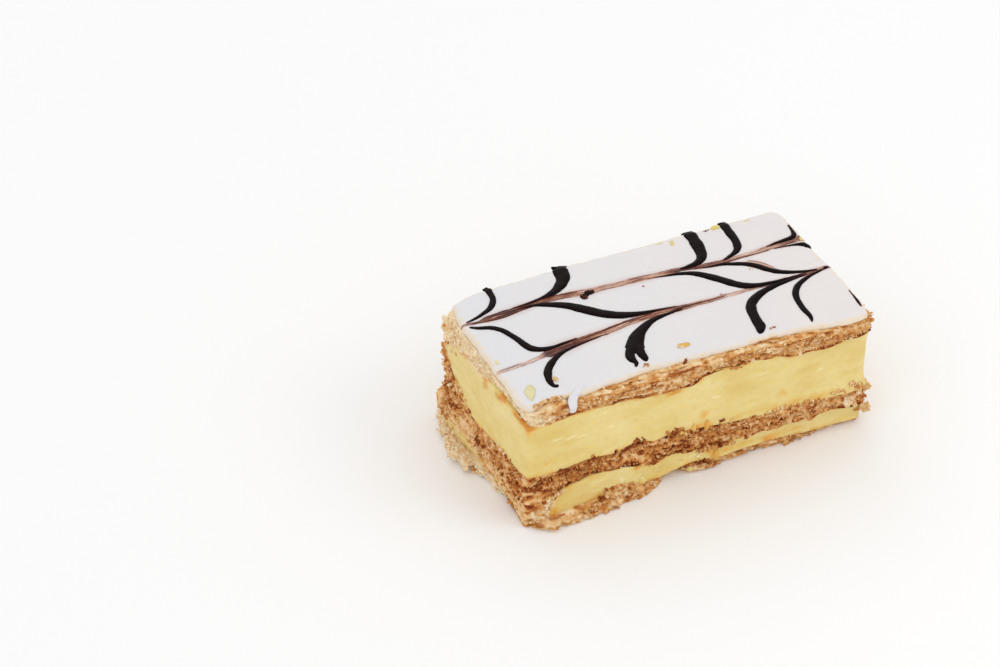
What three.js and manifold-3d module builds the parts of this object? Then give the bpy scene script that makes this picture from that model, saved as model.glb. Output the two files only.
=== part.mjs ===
// Mille feuille slice: three layers of puff pastry, two of custard and a feathered icing top.
// Millimetres, +Z up. X runs along the slice, Y from its front face to its back face. The origin
// is the bottom centre of everything. Neighbouring layers share one uneven meeting height and
// keep a small gap to it, and each pastry layer's edge is cut into ragged leaves.
import * as THREE from 'three';
import Module from 'manifold-3d';

const wasm = await Module();
wasm.setup();

// ---- Driving dimensions ------------------------------------------------------------------
const LENGTH = 105; // the cut slice, end to end
const WIDTH = 54; // front face to back face
const LEVELS = [0, 3.9, 9.9, 15.8, 33.3, 37.8, 39.2]; // mean heights where the layers meet
const GAP = 0.3; // clearance between layers
const ROUNDING = 7; // size of the corner that the edge walks round
const SHARPNESS = 7; // how square that corner is: 2 is an arc, more is squarer
const RING = 6.4; // depth behind the cut face at which the uneven edge band ends
const EDGE_STEPS = { long: 29, short: 11, corner: 4 };
const LEAVES = 4; // leaves whose ragged edges stand out of each pastry layer
const TIP = { pitch: 4.2, ragged: 0.86 }; // a leaf's tip: how often and how far it wanders
const GROOVE = { pitch: 7, ragged: 0.45, depth: 0.85 }; // the groove between two leaves
const SWAY = { pitch: 9, share: 0.28 }; // how leaves rise and fall, as a share of their spacing
const FLAKE_THICK = 0.7; // thickness of a loose flake
const FLAKE_ROOT = 2.5; // how deep a flake's foot is buried in its layer
const CUT_WOBBLE = { pitch: 11, ragged: 0.22 }; // unevenness of the custard's cut face
const ICING_ROUND = 0.9; // how far the icing's top edge is rounded back
const CHOCOLATE_RISE = 0.4; // height of the piped chocolate above the icing
const CHOCOLATE_SINK = 0.5; // how deep its foot sits in the icing
const STROKE_ENDS = { back: WIDTH - 0.5, front: 5.8 }; // where the piped lines stop
const BEAD_SPACING = 0.7; // least distance between two sections of a piped line
const RIM_LIFT = { mean: 0.45, ragged: 0.3, pitch: 8 }; // how the underside's rim curls up
const KNIFE_BACK = [[0, 42.1], [35, 42.2], [57, 40.8], [75, 39], [105, 37.6]]; // drawn to -X
const KNIFE_FRONT = [[8, 19.6], [24, 22.1], [37, 23.9], [51, 25.2], [66, 23.9], [99, 22.7]];
const KNIFE_GAP = 17; // mean distance between the two knife strokes

// ---- Places along the cut edge -----------------------------------------------------------
// A place is the distance walked round the slice from its near left corner, anticlockwise.
const AROUND = 2 * (LENGTH + WIDTH);
const front = (x) => x;
const right = (y) => LENGTH + y;
const back = (x) => 2 * LENGTH + WIDTH - x;
const left = (y) => AROUND - y;
const wrap = (place) => ((place % AROUND) + AROUND) % AROUND;
const ease = (t) => t * t * (3 - 2 * t);

// A smooth closed curve of values through [place, value] stations, in walking order.
function through(stations) {
  return (place) => {
    const here = wrap(place);
    let next = stations.findIndex((station) => station[0] > here);
    if (next < 0) next = 0;
    const [p0, v0] = stations[(next + stations.length - 1) % stations.length];
    const [p1, v1] = stations[next];
    return THREE.MathUtils.lerp(v0, v1, ease(wrap(here - p0) / (wrap(p1 - p0) || AROUND)));
  };
}

// Seeded raggedness between -1 and 1 that changes about every `pitch` millimetres.
function ragged(seed, pitch) {
  const cells = Math.round(AROUND / pitch);
  const values = [];
  let state = seed;
  for (let i = 0; i < cells; i += 1) {
    state = (Math.imul(state ^ (state >>> 15), 0x2c1b3c6d) + 0x9e3779b9) >>> 0;
    values.push(((state ^ (state >>> 13)) >>> 0) / 2147483648 - 1);
  }
  return (place) => {
    const u = (wrap(place) / AROUND) * cells;
    const i = Math.floor(u) % cells;
    return THREE.MathUtils.lerp(values[i], values[(i + 1) % cells], ease(u - Math.floor(u)));
  };
}

// The edge points: where each one's spoke starts, which way it points, and its place.
function edgeSpokes() {
  const spokes = [];
  const reachX = LENGTH / 2 - ROUNDING;
  const reachY = WIDTH / 2 - ROUNDING;
  const corners = [[-reachX, -reachY], [reachX, -reachY], [reachX, reachY], [-reachX, reachY]];
  let walked = 0;
  corners.forEach(([x, y], side) => {
    const [nextX, nextY] = corners[(side + 1) % 4];
    const steps = side % 2 ? EDGE_STEPS.short : EDGE_STEPS.long;
    const run = Math.hypot(nextX - x, nextY - y);
    const facing = (side - 1) * (Math.PI / 2);
    for (let i = 0; i <= steps; i += 1) {
      const t = i / steps;
      const start = new THREE.Vector2(x + (nextX - x) * t, y + (nextY - y) * t);
      spokes.push({ start, angle: facing, square: 1, place: walked + ROUNDING + run * t });
    }
    for (let i = 1; i < EDGE_STEPS.corner; i += 1) {
      const turn = (i / EDGE_STEPS.corner) * (Math.PI / 2);
      const sum = Math.cos(turn) ** SHARPNESS + Math.sin(turn) ** SHARPNESS;
      const place = walked + run + ROUNDING + (2 * ROUNDING * i) / EDGE_STEPS.corner;
      const start = new THREE.Vector2(nextX, nextY);
      spokes.push({ start, angle: facing + turn, square: sum ** (-1 / SHARPNESS), place });
    }
    walked += run + 2 * ROUNDING;
  });
  return spokes;
}

const SPOKES = edgeSpokes();

// The point on a spoke that lies `out` millimetres outside the nominal cut face.
function onSpoke(spoke, out) {
  const reach = ROUNDING * spoke.square + out;
  return new THREE.Vector2(Math.cos(spoke.angle), Math.sin(spoke.angle))
    .multiplyScalar(reach)
    .add(spoke.start);
}

function onRing(spoke) {
  return onSpoke({ ...spoke, square: 1 }, -RING);
}

const CAP = THREE.ShapeUtils.triangulateShape(SPOKES.map(onRing), []);

// ---- Slabs -------------------------------------------------------------------------------
// A closed slab: rows of edge points from its floor up to its roof, each row { t, out },
// then on both faces a band in to the common ring and a flat-lying cap across the middle.
function slab({ floor, roof, rows, floorRing = floor }) {
  const count = SPOKES.length;
  const positions = [];
  const index = [];
  const put = (point, z) => positions.push(point.x, point.y, z);
  SPOKES.forEach((spoke) => put(onRing(spoke), floorRing(spoke.place)));
  rows.forEach(({ t, out }) => {
    SPOKES.forEach((spoke) => {
      const low = floor(spoke.place);
      const z = low + (roof(spoke.place) - low) * t(spoke.place);
      put(onSpoke(spoke, out(spoke.place)), z);
    });
  });
  SPOKES.forEach((spoke) => put(onRing(spoke), roof(spoke.place)));
  for (let row = 0; row <= rows.length; row += 1) {
    for (let i = 0; i < count; i += 1) {
      const a = row * count + i;
      const b = row * count + ((i + 1) % count);
      index.push(a, b, b + count, a, b + count, a + count);
    }
  }
  const roofStart = (rows.length + 1) * count;
  CAP.forEach(([a, b, c]) => {
    index.push(c, b, a);
    index.push(roofStart + a, roofStart + b, roofStart + c);
  });
  return solidFrom(positions, index);
}

function solidFrom(positions, index) {
  return new wasm.Manifold(new wasm.Mesh({
    numProp: 3,
    vertProperties: new Float32Array(positions),
    triVerts: new Uint32Array(index),
  }));
}

function geometryOf(solid) {
  const { vertProperties, triVerts } = solid.getMesh();
  const geometry = new THREE.BufferGeometry();
  geometry.setAttribute('position', new THREE.BufferAttribute(vertProperties, 3));
  geometry.setIndex(new THREE.BufferAttribute(triVerts, 1));
  geometry.computeVertexNormals();
  return geometry;
}

const fixed = (value) => () => value;

// ---- Where the layers meet ---------------------------------------------------------------
// Departures from the mean heights, along the edge: the cut squeezed the slice unevenly.
const DIPS = [
  fixed(0),
  through([[front(0), -1.4], [front(6), -1.4], [front(14), -1.5], [front(20), -1.1],
    [front(25), 0.2], [front(31), -0.1], [front(35), -1.6], [front(40), -1.5], [front(45), -0.2],
    [front(49.5), 0.7], [front(55), -0.2], [front(60), -1.2], [front(66), -0.7],
    [front(74), -0.2], [front(81), -0.8], [front(88), -1.9], [front(98), -2.1], [right(7), -1.9],
    [right(20), -0.6], [right(32), 0.1], [back(60), -0.2], [back(16), -0.4], [left(42), -1.3],
    [left(30), -0.8], [left(10), -1.4]]),
  through([[front(0), -1.7], [front(7), -1.3], [front(12.5), 0.2], [front(21), 1], [front(27), 1],
    [front(33), -0.7], [front(37.5), -2.2], [front(44), -0.9], [front(50), -1.5],
    [front(57), -2.7], [front(66), -2.2], [front(75), -1.8], [front(95), -1.7],
    [front(102), -1.5], [right(14), -1], [right(30), -0.4], [back(70), 0.2], [back(28), -0.6],
    [left(46), -2.1], [left(38), -1.7], [left(27), -1.3], [left(10), -2]]),
  through([[front(0), 0.2], [front(8), 0.3], [front(20), 1.4], [front(26), 0.8], [front(33), 2.6],
    [front(39), 1.1], [front(44), 2.4], [front(48.5), 0.9], [front(53), 0.9], [front(57), 0],
    [front(65), -1], [front(75), -1.8], [front(80), -1.3], [front(90), -1.5], [front(101), -2],
    [right(14), -1.3], [right(30), -0.2], [back(75), 0.4], [back(40), -0.4], [left(47), 0.5],
    [left(30), -0.3], [left(12), 0.2]]),
  through([[front(0), -0.6], [front(7), -0.4], [front(14), 0.4], [front(21), 0.6], [front(28), -0.1],
    [front(36), -1], [front(41), -1.4], [front(45.5), -2.1], [front(50), -1.4], [front(56), 0.8],
    [front(62), 0.6], [front(70), 0.7], [front(75), 0], [front(80), -1.2], [front(86), -0.8],
    [front(92), -1.6], [front(100), -0.2], [right(30), -0.3], [back(60), 0.5], [left(30), 0.1]]),
  fixed(0),
  fixed(0),
];
const meeting = (level, gap) => (place) => LEVELS[level] + DIPS[level](place) + gap;

// ---- Pastry ------------------------------------------------------------------------------
// Each leaf is one row of tips, with a groove above it; the outline runs from `low` at the
// floor to `high` at the roof.
function pastryRows(low, high, seed) {
  const rows = [];
  const last = 2 * LEAVES;
  for (let i = 0; i <= last; i += 1) {
    const t = i / last;
    const tip = i % 2 === 1;
    const rim = i === 0 || i === last;
    const shape = tip ? TIP : GROOVE;
    const wander = ragged(seed + 31 * i, shape.pitch);
    const sway = ragged(seed + 31 * i + 7, SWAY.pitch);
    const depth = tip ? 0 : GROOVE.depth * (rim ? 0.5 : 1);
    rows.push({
      t: (place) => (rim ? t : t + (SWAY.share / last) * sway(place)),
      out: (place) => THREE.MathUtils.lerp(low(place), high(place), t)
        - depth + shape.ragged * wander(place),
    });
  }
  return rows;
}

// A loose flake: a thin leaf-shaped shard that stands out of the edge at a place.
function flake({ place, z, reach, width, lift }) {
  const spoke = SPOKES.reduce((best, other) => (
    Math.abs(other.place - place) < Math.abs(best.place - place) ? other : best));
  const tip = new THREE.Shape();
  tip.moveTo(-FLAKE_ROOT, -width / 2);
  tip.lineTo(reach * 0.6, -width * 0.42);
  tip.lineTo(reach, -width * 0.05);
  tip.lineTo(reach * 0.72, width * 0.12);
  tip.lineTo(reach * 0.8, width * 0.4);
  tip.lineTo(-FLAKE_ROOT, width / 2);
  const shard = new THREE.ExtrudeGeometry(tip, { depth: FLAKE_THICK, bevelEnabled: false });
  shard.rotateY(-lift);
  shard.rotateZ(spoke.angle);
  const foot = onSpoke(spoke, 0);
  shard.translate(foot.x, foot.y, z);
  return weld(shard);
}

// Closes a three.js geometry into a solid by merging its equal corners.
function weld(geometry) {
  const corner = geometry.getAttribute('position');
  const known = new Map();
  const positions = [];
  const index = [];
  for (let i = 0; i < corner.count; i += 1) {
    const xyz = [corner.getX(i), corner.getY(i), corner.getZ(i)];
    const key = xyz.map((value) => value.toFixed(4)).join();
    if (!known.has(key)) {
      known.set(key, positions.length / 3);
      positions.push(...xyz);
    }
    index.push(known.get(key));
  }
  return solidFrom(positions, index);
}

function pastry({ level, low, high, seed, flakes, floor, floorRing }) {
  let solid = slab({
    floor: floor ?? meeting(level, GAP / 2),
    floorRing,
    roof: meeting(level + 1, -GAP / 2),
    rows: pastryRows(low, high, seed),
  });
  flakes.forEach((one) => {
    solid = solid.add(flake(one));
  });
  return geometryOf(solid);
}

// ---- Custard -----------------------------------------------------------------------------
function custard({ level, low, high, hollow, rows, seed }) {
  const list = [];
  for (let i = 0; i <= rows; i += 1) {
    const t = i / rows;
    const wobble = ragged(seed + i, CUT_WOBBLE.pitch);
    list.push({
      t: fixed(t),
      out: (place) => THREE.MathUtils.lerp(low(place), high(place), t)
        - hollow(place) * 4 * t * (1 - t) + CUT_WOBBLE.ragged * wobble(place),
    });
  }
  const parts = { floor: meeting(level, GAP / 2), roof: meeting(level + 1, -GAP / 2) };
  return geometryOf(slab({ ...parts, rows: list }));
}

// ---- Icing and its feathered chocolate ---------------------------------------------------
const along = (knife, x) => {
  const inside = THREE.MathUtils.clamp(x, knife[0][0], knife[knife.length - 1][0]);
  const next = Math.max(1, knife.findIndex((point) => point[0] >= inside));
  const [x0, y0] = knife[next - 1];
  const [x1, y1] = knife[next];
  return THREE.MathUtils.lerp(y0, y1, (inside - x0) / (x1 - x0));
};
const drag = (distance, reach, power) => Math.exp(-((Math.max(distance, 0) / reach) ** power));

// Lines of chocolate were piped straight across the slice. One knife drawn to the left near
// the back and one drawn to the right near the front pull each line into three sweeps.
const PIPED = [
  { back: [15, 13.1], middle: [11.5, 10, 9.7], front: [11.1, 12], wide: [1.5, 1.3, 1.9, 1.4] },
  { back: [37, 16], middle: [34.5, 14, 20], front: [36.6, 17], wide: [4.4, 2.2, 3, 5] },
  { back: [77.6, 9.1], middle: [72.6, 7.9, 23.4], front: [74, 16.3], wide: [3.4, 2, 2.8, 2.6] },
  { back: [88.3, 7], middle: [86.6, 12, 18], front: [88.9, 14.5], wide: [2.4, 1.4, 1.8, 1.5] },
];
const SWEEP_STEPS = 9;

function sweepBack([x0, pull], [wide], yEnd) {
  return sections((t) => {
    const away = (yEnd - along(KNIFE_BACK, x0)) * (1 - t) ** 2;
    const x = x0 - pull * drag(away, 3, 0.65);
    return { x, y: along(KNIFE_BACK, x) + away, width: wide * (1 - 0.65 * t * t) };
  });
}

function sweepMiddle([x0, pullBack, pullFront], [, wide]) {
  return sections((t) => {
    const u = 0.5 - 0.5 * Math.cos(Math.PI * t);
    const x = x0 - pullBack * drag(u * KNIFE_GAP, 2.9, 0.9)
      + pullFront * drag((1 - u) * KNIFE_GAP, 1.2, 0.5);
    const y = THREE.MathUtils.lerp(along(KNIFE_BACK, x) - 1, along(KNIFE_FRONT, x) + 0.8, u);
    return { x, y, width: wide * (0.5 + 2 * u * (1 - u)) };
  });
}

function sweepFront([x0, pull], [, , wide, tip], yEnd) {
  return sections((t) => {
    const away = (along(KNIFE_FRONT, x0) - yEnd) * t ** 1.7;
    const x = x0 + pull * drag(away, 3.7, 1.08);
    const width = t < 0.4 ? wide * (0.4 + 1.5 * t) : THREE.MathUtils.lerp(wide, tip, (t - 0.4) / 0.6);
    return { x, y: along(KNIFE_FRONT, x) - 1.2 - away, width };
  });
}

function sections(at) {
  const list = [];
  for (let i = 0; i <= SWEEP_STEPS; i += 1) list.push(at(i / SWEEP_STEPS));
  return list;
}

// A low domed bead along a row of sections, its foot sunk in the icing. Sections that would
// fall outside the icing or on top of each other are dropped.
function bead(list, top) {
  const kept = [];
  list.forEach((point) => {
    const inside = point.x > 1 && point.x < LENGTH - 0.6;
    const before = kept[kept.length - 1];
    const apart = !before || Math.hypot(point.x - before.x, point.y - before.y) > BEAD_SPACING;
    if (inside && apart) kept.push(point);
  });
  const profile = [[0.5, -CHOCOLATE_SINK], [0.42, CHOCOLATE_RISE * 0.6], [0, CHOCOLATE_RISE],
    [-0.42, CHOCOLATE_RISE * 0.6], [-0.5, -CHOCOLATE_SINK]];
  const sides = profile.length;
  const positions = [];
  const index = [];
  kept.forEach((point, i) => {
    const ahead = kept[Math.min(i + 1, kept.length - 1)];
    const behind = kept[Math.max(i - 1, 0)];
    const way = new THREE.Vector2(ahead.x - behind.x, ahead.y - behind.y).normalize();
    profile.forEach(([across, z]) => {
      const side = across * point.width;
      const x = point.x - LENGTH / 2 + way.y * side;
      positions.push(x, point.y - WIDTH / 2 - way.x * side, top + z);
    });
  });
  for (let i = 0; i + 1 < kept.length; i += 1) {
    for (let j = 0; j < sides; j += 1) {
      const a = i * sides + j;
      const b = i * sides + ((j + 1) % sides);
      index.push(a, a + sides, b + sides, a, b + sides, b);
    }
  }
  const end = (kept.length - 1) * sides;
  for (let j = 1; j + 1 < sides; j += 1) {
    index.push(0, j, j + 1);
    index.push(end, end + j + 1, end + j);
  }
  return solidFrom(positions, index);
}

// The tongue of icing that ran over the front edge, as a flat bead of its own.
function drip({ x, width, thick, path }) {
  const section = new THREE.Shape();
  section.absellipse(0, 0, width / 2, thick / 2, 0, 2 * Math.PI, false, 0);
  const points = path.map(([y, z]) => new THREE.Vector3(x - LENGTH / 2, y - WIDTH / 2, z));
  const curve = new THREE.CatmullRomCurve3(points);
  const options = { steps: 7, curveSegments: 4, extrudePath: curve };
  return weld(new THREE.ExtrudeGeometry(section, options));
}

const DRIP = {
  x: 13.4, width: 2.9, thick: 1, path: [[6, 38.5], [2.6, 38.8], [-0.6, 38.9], [-2, 37.9], [-2, 35.2]],
};

// The icing's rim from floor to top: share of its height, how far out of the outline.
const ICING_RIM = [[0, -0.45], [0.35, 0], [0.7, -0.15], [0.93, -ICING_ROUND]];

function icing(outline) {
  const top = LEVELS[6];
  let solid = slab({
    floor: meeting(5, GAP / 2),
    roof: fixed(top),
    rows: ICING_RIM.map(([t, out]) => ({ t: fixed(t), out: (place) => outline(place) + out })),
  });
  PIPED.forEach((line) => {
    solid = solid.add(bead(sweepBack(line.back, line.wide, STROKE_ENDS.back), top));
    solid = solid.add(bead(sweepMiddle(line.middle, line.wide), top));
    solid = solid.add(bead(sweepFront(line.front, line.wide, STROKE_ENDS.front), top));
  });
  solid = solid.add(drip(DRIP));
  return geometryOf(solid);
}

// ---- The layers' outlines ----------------------------------------------------------------
// How far each layer reaches outside the nominal cut face, by place.
const BOTTOM_REACH = through([[front(3), 4.8], [front(12), 6.2], [front(22), 5.3],
  [front(30), 4.2], [front(36), 3], [front(41), 0], [front(43.5), -3.9], [front(46), -4.2],
  [front(48), -3.1], [front(50.5), 0.1], [front(56), 0], [front(61), -0.7], [front(70), -1.3],
  [front(80), -0.9], [front(88), -1.3], [front(95), -1.7], [front(102), -2.3], [right(10), -0.6],
  [right(27), 0.6], [back(90), 0.6], [back(50), 1.3], [back(8), 1.8], [left(46), 4.4],
  [left(36), 7.2], [left(27), 3.8], [left(19), 2.2], [left(10), 0], [left(3), 0.5]]);
const BOTTOM_REACH_TOP = through([[front(3), 2.8], [front(14), 3.4], [front(34), 1.6],
  [front(40.5), -0.2], [front(43.5), -3.9], [front(46), -4.2], [front(48), -3.1],
  [front(50.5), -0.4], [front(56), -0.6], [front(70), -1], [front(100), -1], [right(27), 0.6],
  [back(50), 1], [back(8), 1.5], [left(44), 5], [left(35), 7.4], [left(26), 3.4], [left(8), 0.6]]);
const LOWER_CUSTARD = through([[front(4), 1.8], [front(22), 0.8], [front(40), -0.4],
  [front(47), 0.1], [front(58), -0.9], [front(98), -1], [right(4), 0.6], [right(27), 0.2],
  [back(50), -0.2], [left(45), 3.2], [left(33), 2.8], [left(22), 1.2], [left(8), 0]]);
const MIDDLE_LOW = through([[front(3), 2.4], [front(14), 0.8], [front(60), 0.3],
  [front(96), 1], [front(104), 1.6], [right(27), 1], [back(50), 0.8], [back(4), 2.5],
  [left(45), 4.6], [left(36), 2.8], [left(20), 2.1], [left(8), 2.4]]);
const MIDDLE_HIGH = through([[front(2), 0.2], [front(30), 0.4], [front(41), 0.9],
  [front(60), 0.2], [front(103), 1.4], [right(27), 0.9], [back(50), 0.7], [left(46), 1],
  [left(30), 1.8], [left(12), 1]]);
const UPPER_CUSTARD = through([[front(3), -0.3], [front(50), -0.6], [front(96), 0],
  [right(3), 1.1], [right(27), 0], [back(50), -0.2], [left(45), 0.9], [left(30), 0.4],
  [left(8), -0.4]]);
const UPPER_HOLLOW = through([[front(4), 0.1], [front(90), 0.2], [right(4), 1.1],
  [right(27), 1.4], [right(50), 0.9], [back(80), 0.3], [left(40), 0.4]]);
const TOP_LOW = through([[front(3), -0.2], [front(14), 0.2], [front(60), 0.3],
  [front(98), 1.4], [right(1), 2.6], [right(27), 1], [back(50), 0.9], [left(48), 2.2],
  [left(40), 2.8], [left(31), 1.7], [left(16), 0], [left(5), -1.9]]);
const TOP_HIGH = through([[front(3), 0.6], [front(50), 0.5], [front(98), 1], [right(27), 0.6],
  [back(50), 0.7], [left(46), 1.2], [left(38), 1.3], [left(25), 0.9], [left(6), 0.3]]);
const ICING = through([[front(1), -0.6], [front(4), -2.8], [front(12), -3.3], [front(16), -2.2],
  [front(22), -2.8], [front(31), -2.8], [front(38), -3.8], [front(45), -3.3], [front(55), -3.1],
  [front(62), -2.5], [front(75), -2.3], [front(80), -2.2], [front(84), -1.5], [front(88), -0.8],
  [front(92), -0.2], [front(100), 0.5], [right(4), 0.6], [right(14), 0.8], [right(20), 1.1],
  [right(30), 0.4], [right(51), 0.4], [back(101), 0.7], [back(75), 1.1], [back(36), 1.4],
  [back(12), 1], [left(53), -1.4], [left(44), 0], [left(24), 0], [left(7), 0.3]]);

// The rim of the underside curls up a little, so only the middle rests on the table.
const curl = ragged(11, RIM_LIFT.pitch);
const rimLift = (place) => RIM_LIFT.mean + RIM_LIFT.ragged * curl(place);

// ---- Flakes ------------------------------------------------------------------------------
const FLAKES = {
  bottom: [
    { place: left(34), z: 1.3, reach: 9.4, width: 12, lift: 0.1 },
    { place: left(44), z: 1, reach: 7, width: 9, lift: 0.08 },
    { place: front(8), z: 1.1, reach: 7.3, width: 10, lift: -0.04 },
    { place: back(30), z: 1.6, reach: 3.2, width: 6, lift: 0.08 },
  ],
  middle: [
    { place: left(44), z: 11.2, reach: 5.4, width: 9, lift: 0.05 },
    { place: right(3), z: 12.8, reach: 3.6, width: 4, lift: -0.1 },
    { place: back(66), z: 12.2, reach: 2.6, width: 6, lift: 0.1 },
    { place: front(41), z: 14, reach: 2, width: 5, lift: 0.2 },
  ],
  top: [
    { place: right(2), z: 35.2, reach: 3.8, width: 4, lift: 0.05 },
    { place: left(44), z: 34.8, reach: 3.6, width: 9, lift: 0.06 },
    { place: back(58), z: 35.4, reach: 2.4, width: 7, lift: 0.12 },
  ],
};

// ---- Assembly ----------------------------------------------------------------------------
const COLOURS = {
  pastryPale: [0xd9ae78, 0.85],
  pastryBrown: [0xc08a4e, 0.85],
  custard: [0xe6cd85, 0.45],
  icing: [0xefeef0, 0.3],
};

const group = new THREE.Group();

function addLayer(name, geometry, [color, roughness]) {
  const material = new THREE.MeshStandardMaterial({ color, roughness, metalness: 0 });
  const mesh = new THREE.Mesh(geometry, material);
  mesh.name = name;
  group.add(mesh);
}

addLayer('pastry_bottom', pastry({
  level: 0, low: BOTTOM_REACH, high: BOTTOM_REACH_TOP, seed: 101, flakes: FLAKES.bottom,
  floor: rimLift, floorRing: fixed(0),
}), COLOURS.pastryPale);
addLayer('custard_lower', custard({
  level: 1, low: LOWER_CUSTARD, high: LOWER_CUSTARD, hollow: fixed(0.2), rows: 3, seed: 211,
}), COLOURS.custard);
addLayer('pastry_middle', pastry({
  level: 2, low: MIDDLE_LOW, high: MIDDLE_HIGH, seed: 307, flakes: FLAKES.middle,
}), COLOURS.pastryBrown);
addLayer('custard_upper', custard({
  level: 3, low: MIDDLE_HIGH, high: UPPER_CUSTARD, hollow: UPPER_HOLLOW, rows: 5, seed: 401,
}), COLOURS.custard);
addLayer('pastry_top', pastry({
  level: 4, low: TOP_LOW, high: TOP_HIGH, seed: 503, flakes: FLAKES.top,
}), COLOURS.pastryPale);
addLayer('icing', icing(ICING), COLOURS.icing);

const box = new THREE.Box3().setFromObject(group);
group.position.set(-(box.min.x + box.max.x) / 2, -(box.min.y + box.max.y) / 2, -box.min.z);

export default group;
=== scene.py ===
# %% [markdown]
# # A mille feuille slice
# Three baked puff pastry layers hold two layers of set custard, under white icing with lines
# of chocolate that a knife dragged into feathers. The measured solids are the fixed frame.
# Here each solid is replaced by a piece of the same form with the finish of the real food:
# pastry becomes stacks of thin ragged leaves, custard gets smears and icing gets its shine.

# %% Load the frame
import math

import bmesh
import bpy
import numpy as np
from mathutils import Matrix, Vector
from mathutils.bvhtree import BVHTree


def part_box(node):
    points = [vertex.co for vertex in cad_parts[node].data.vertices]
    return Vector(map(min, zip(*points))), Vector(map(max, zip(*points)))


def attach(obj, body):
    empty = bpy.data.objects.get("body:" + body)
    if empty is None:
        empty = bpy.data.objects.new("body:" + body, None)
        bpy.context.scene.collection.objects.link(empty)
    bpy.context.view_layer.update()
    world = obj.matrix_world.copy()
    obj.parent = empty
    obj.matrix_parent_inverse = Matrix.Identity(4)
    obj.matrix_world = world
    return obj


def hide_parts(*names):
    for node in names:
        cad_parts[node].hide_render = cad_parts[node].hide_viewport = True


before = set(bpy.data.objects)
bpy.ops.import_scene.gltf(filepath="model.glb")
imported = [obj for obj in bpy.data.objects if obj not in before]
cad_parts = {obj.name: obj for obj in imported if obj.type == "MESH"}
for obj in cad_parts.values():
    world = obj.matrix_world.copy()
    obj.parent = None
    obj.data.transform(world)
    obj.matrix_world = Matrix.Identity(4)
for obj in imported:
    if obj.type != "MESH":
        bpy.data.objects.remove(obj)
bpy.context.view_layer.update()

MM = 0.001               # everything below is worked out in millimetres
print("nodes:", sorted(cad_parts))

# %% [markdown]
# ## Slice coordinates
# It is easier to place things on a slice from its own near left corner, as a baker would
# measure it, than from the middle of its bounding box. The icing's right edge and front edge
# say where that corner lies in the frame.

# %% Slice coordinates
LENGTH, WIDTH = 105.0, 54.0        # the cut slice
ICING_RIGHT, ICING_BACK = 106.06, 55.4   # where the icing's box ends, in slice coordinates
icing_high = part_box("icing")[1] / MM
CORNER = np.array([icing_high.x - ICING_RIGHT, icing_high.y - ICING_BACK, 0.0])
ICING_TOP = 39.2                   # height of the icing's surface
print("near left corner at", CORNER.round(2), "mm")

# %% [markdown]
# ## Camera
# The slice is seen from its front left, from well above, through a long lens, so that its
# edges stay nearly parallel.

# %% Camera
AZIMUTH, ELEVATION = math.radians(-24.89), math.radians(37.56)
DISTANCE, LENS, SENSOR = 942.6, 120.0, 36.0
LOOK_AT = Vector((17.8, 55.5, 21.5))

toward = Vector((math.sin(AZIMUTH) * math.cos(ELEVATION),
                 -math.cos(AZIMUTH) * math.cos(ELEVATION), math.sin(ELEVATION)))
across = Vector((math.cos(AZIMUTH), math.sin(AZIMUTH), 0.0))
upward = toward.cross(across)
camera_data = bpy.data.cameras.new("camera")
camera_data.lens, camera_data.sensor_width = LENS, SENSOR
camera_data.sensor_fit = "HORIZONTAL"
camera_data.clip_end = 20.0
camera = bpy.data.objects.new("camera", camera_data)
stand = (LOOK_AT + Vector(CORNER) + toward * DISTANCE) * MM
turn = Matrix((across, upward, toward)).transposed().to_4x4()
camera.matrix_world = Matrix.Translation(stand) @ turn
bpy.context.scene.collection.objects.link(camera)
bpy.context.scene.camera = camera
print(f"the camera stands {stand.length:.2f} m away")

# %% [markdown]
# ## Noise
# Baked and cut food is never smooth, so every surface below is moved by noise. This is value
# noise: each corner of a lattice gets a fixed random number and points between corners blend
# them. Working on whole arrays keeps it fast, and the seed keeps it the same on every run.

# %% Noise
def lattice(ix, iy, iz, seed):
    """A fixed random number between -1 and 1 for each whole-numbered corner."""
    mixed = ix * 374761393 + iy * 668265263 + iz * 1274126177 + seed * 974634777
    mixed = (mixed ^ (mixed >> 13)) & 0xFFFFFFFF
    mixed = (mixed * 1274126177) & 0xFFFFFFFF
    return ((mixed ^ (mixed >> 16)) & 0xFFFF) / 32767.5 - 1.0


def noise(x, y, z, seed=0):
    """Smooth noise between -1 and 1 at points given as arrays, one lattice step apart."""
    x, y, z = np.broadcast_arrays(x, y, z)
    cells = [np.floor(a).astype(np.int64) for a in (x, y, z)]
    parts = [a - c for a, c in zip((x, y, z), cells)]
    fx, fy, fz = [p * p * (3 - 2 * p) for p in parts]
    total = 0.0
    for dx in (0, 1):
        for dy in (0, 1):
            for dz in (0, 1):
                weight = (fx if dx else 1 - fx) * (fy if dy else 1 - fy) * (fz if dz else 1 - fz)
                corner = lattice(cells[0] + dx, cells[1] + dy, cells[2] + dz, seed)
                total = total + weight * corner
    return total


def rough(x, y, z, seed=0, octaves=3):
    """Noise with finer and finer noise added to it."""
    total, share = 0.0, 1.0
    for octave in range(octaves):
        total = total + share * noise(x * 2 ** octave, y * 2 ** octave, z * 2 ** octave, seed + octave)
        share *= 0.55
    return total


sample = noise(np.arange(1000) / 7, 0.5, 0.5)
print(f"noise runs from {sample.min():.2f} to {sample.max():.2f}")

# %% [markdown]
# ## Measuring the solids
# Each layer's outline is already in the frame. Rays shot at a solid from outside find how far
# its cut edge reaches at each place and height, and rays from below and above find its floor
# and roof. The rays run along spokes that leave a small rectangle, the spine, and fan out
# round its corners, so one number, `u`, from 0 to 1, walks once round the slice.

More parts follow.
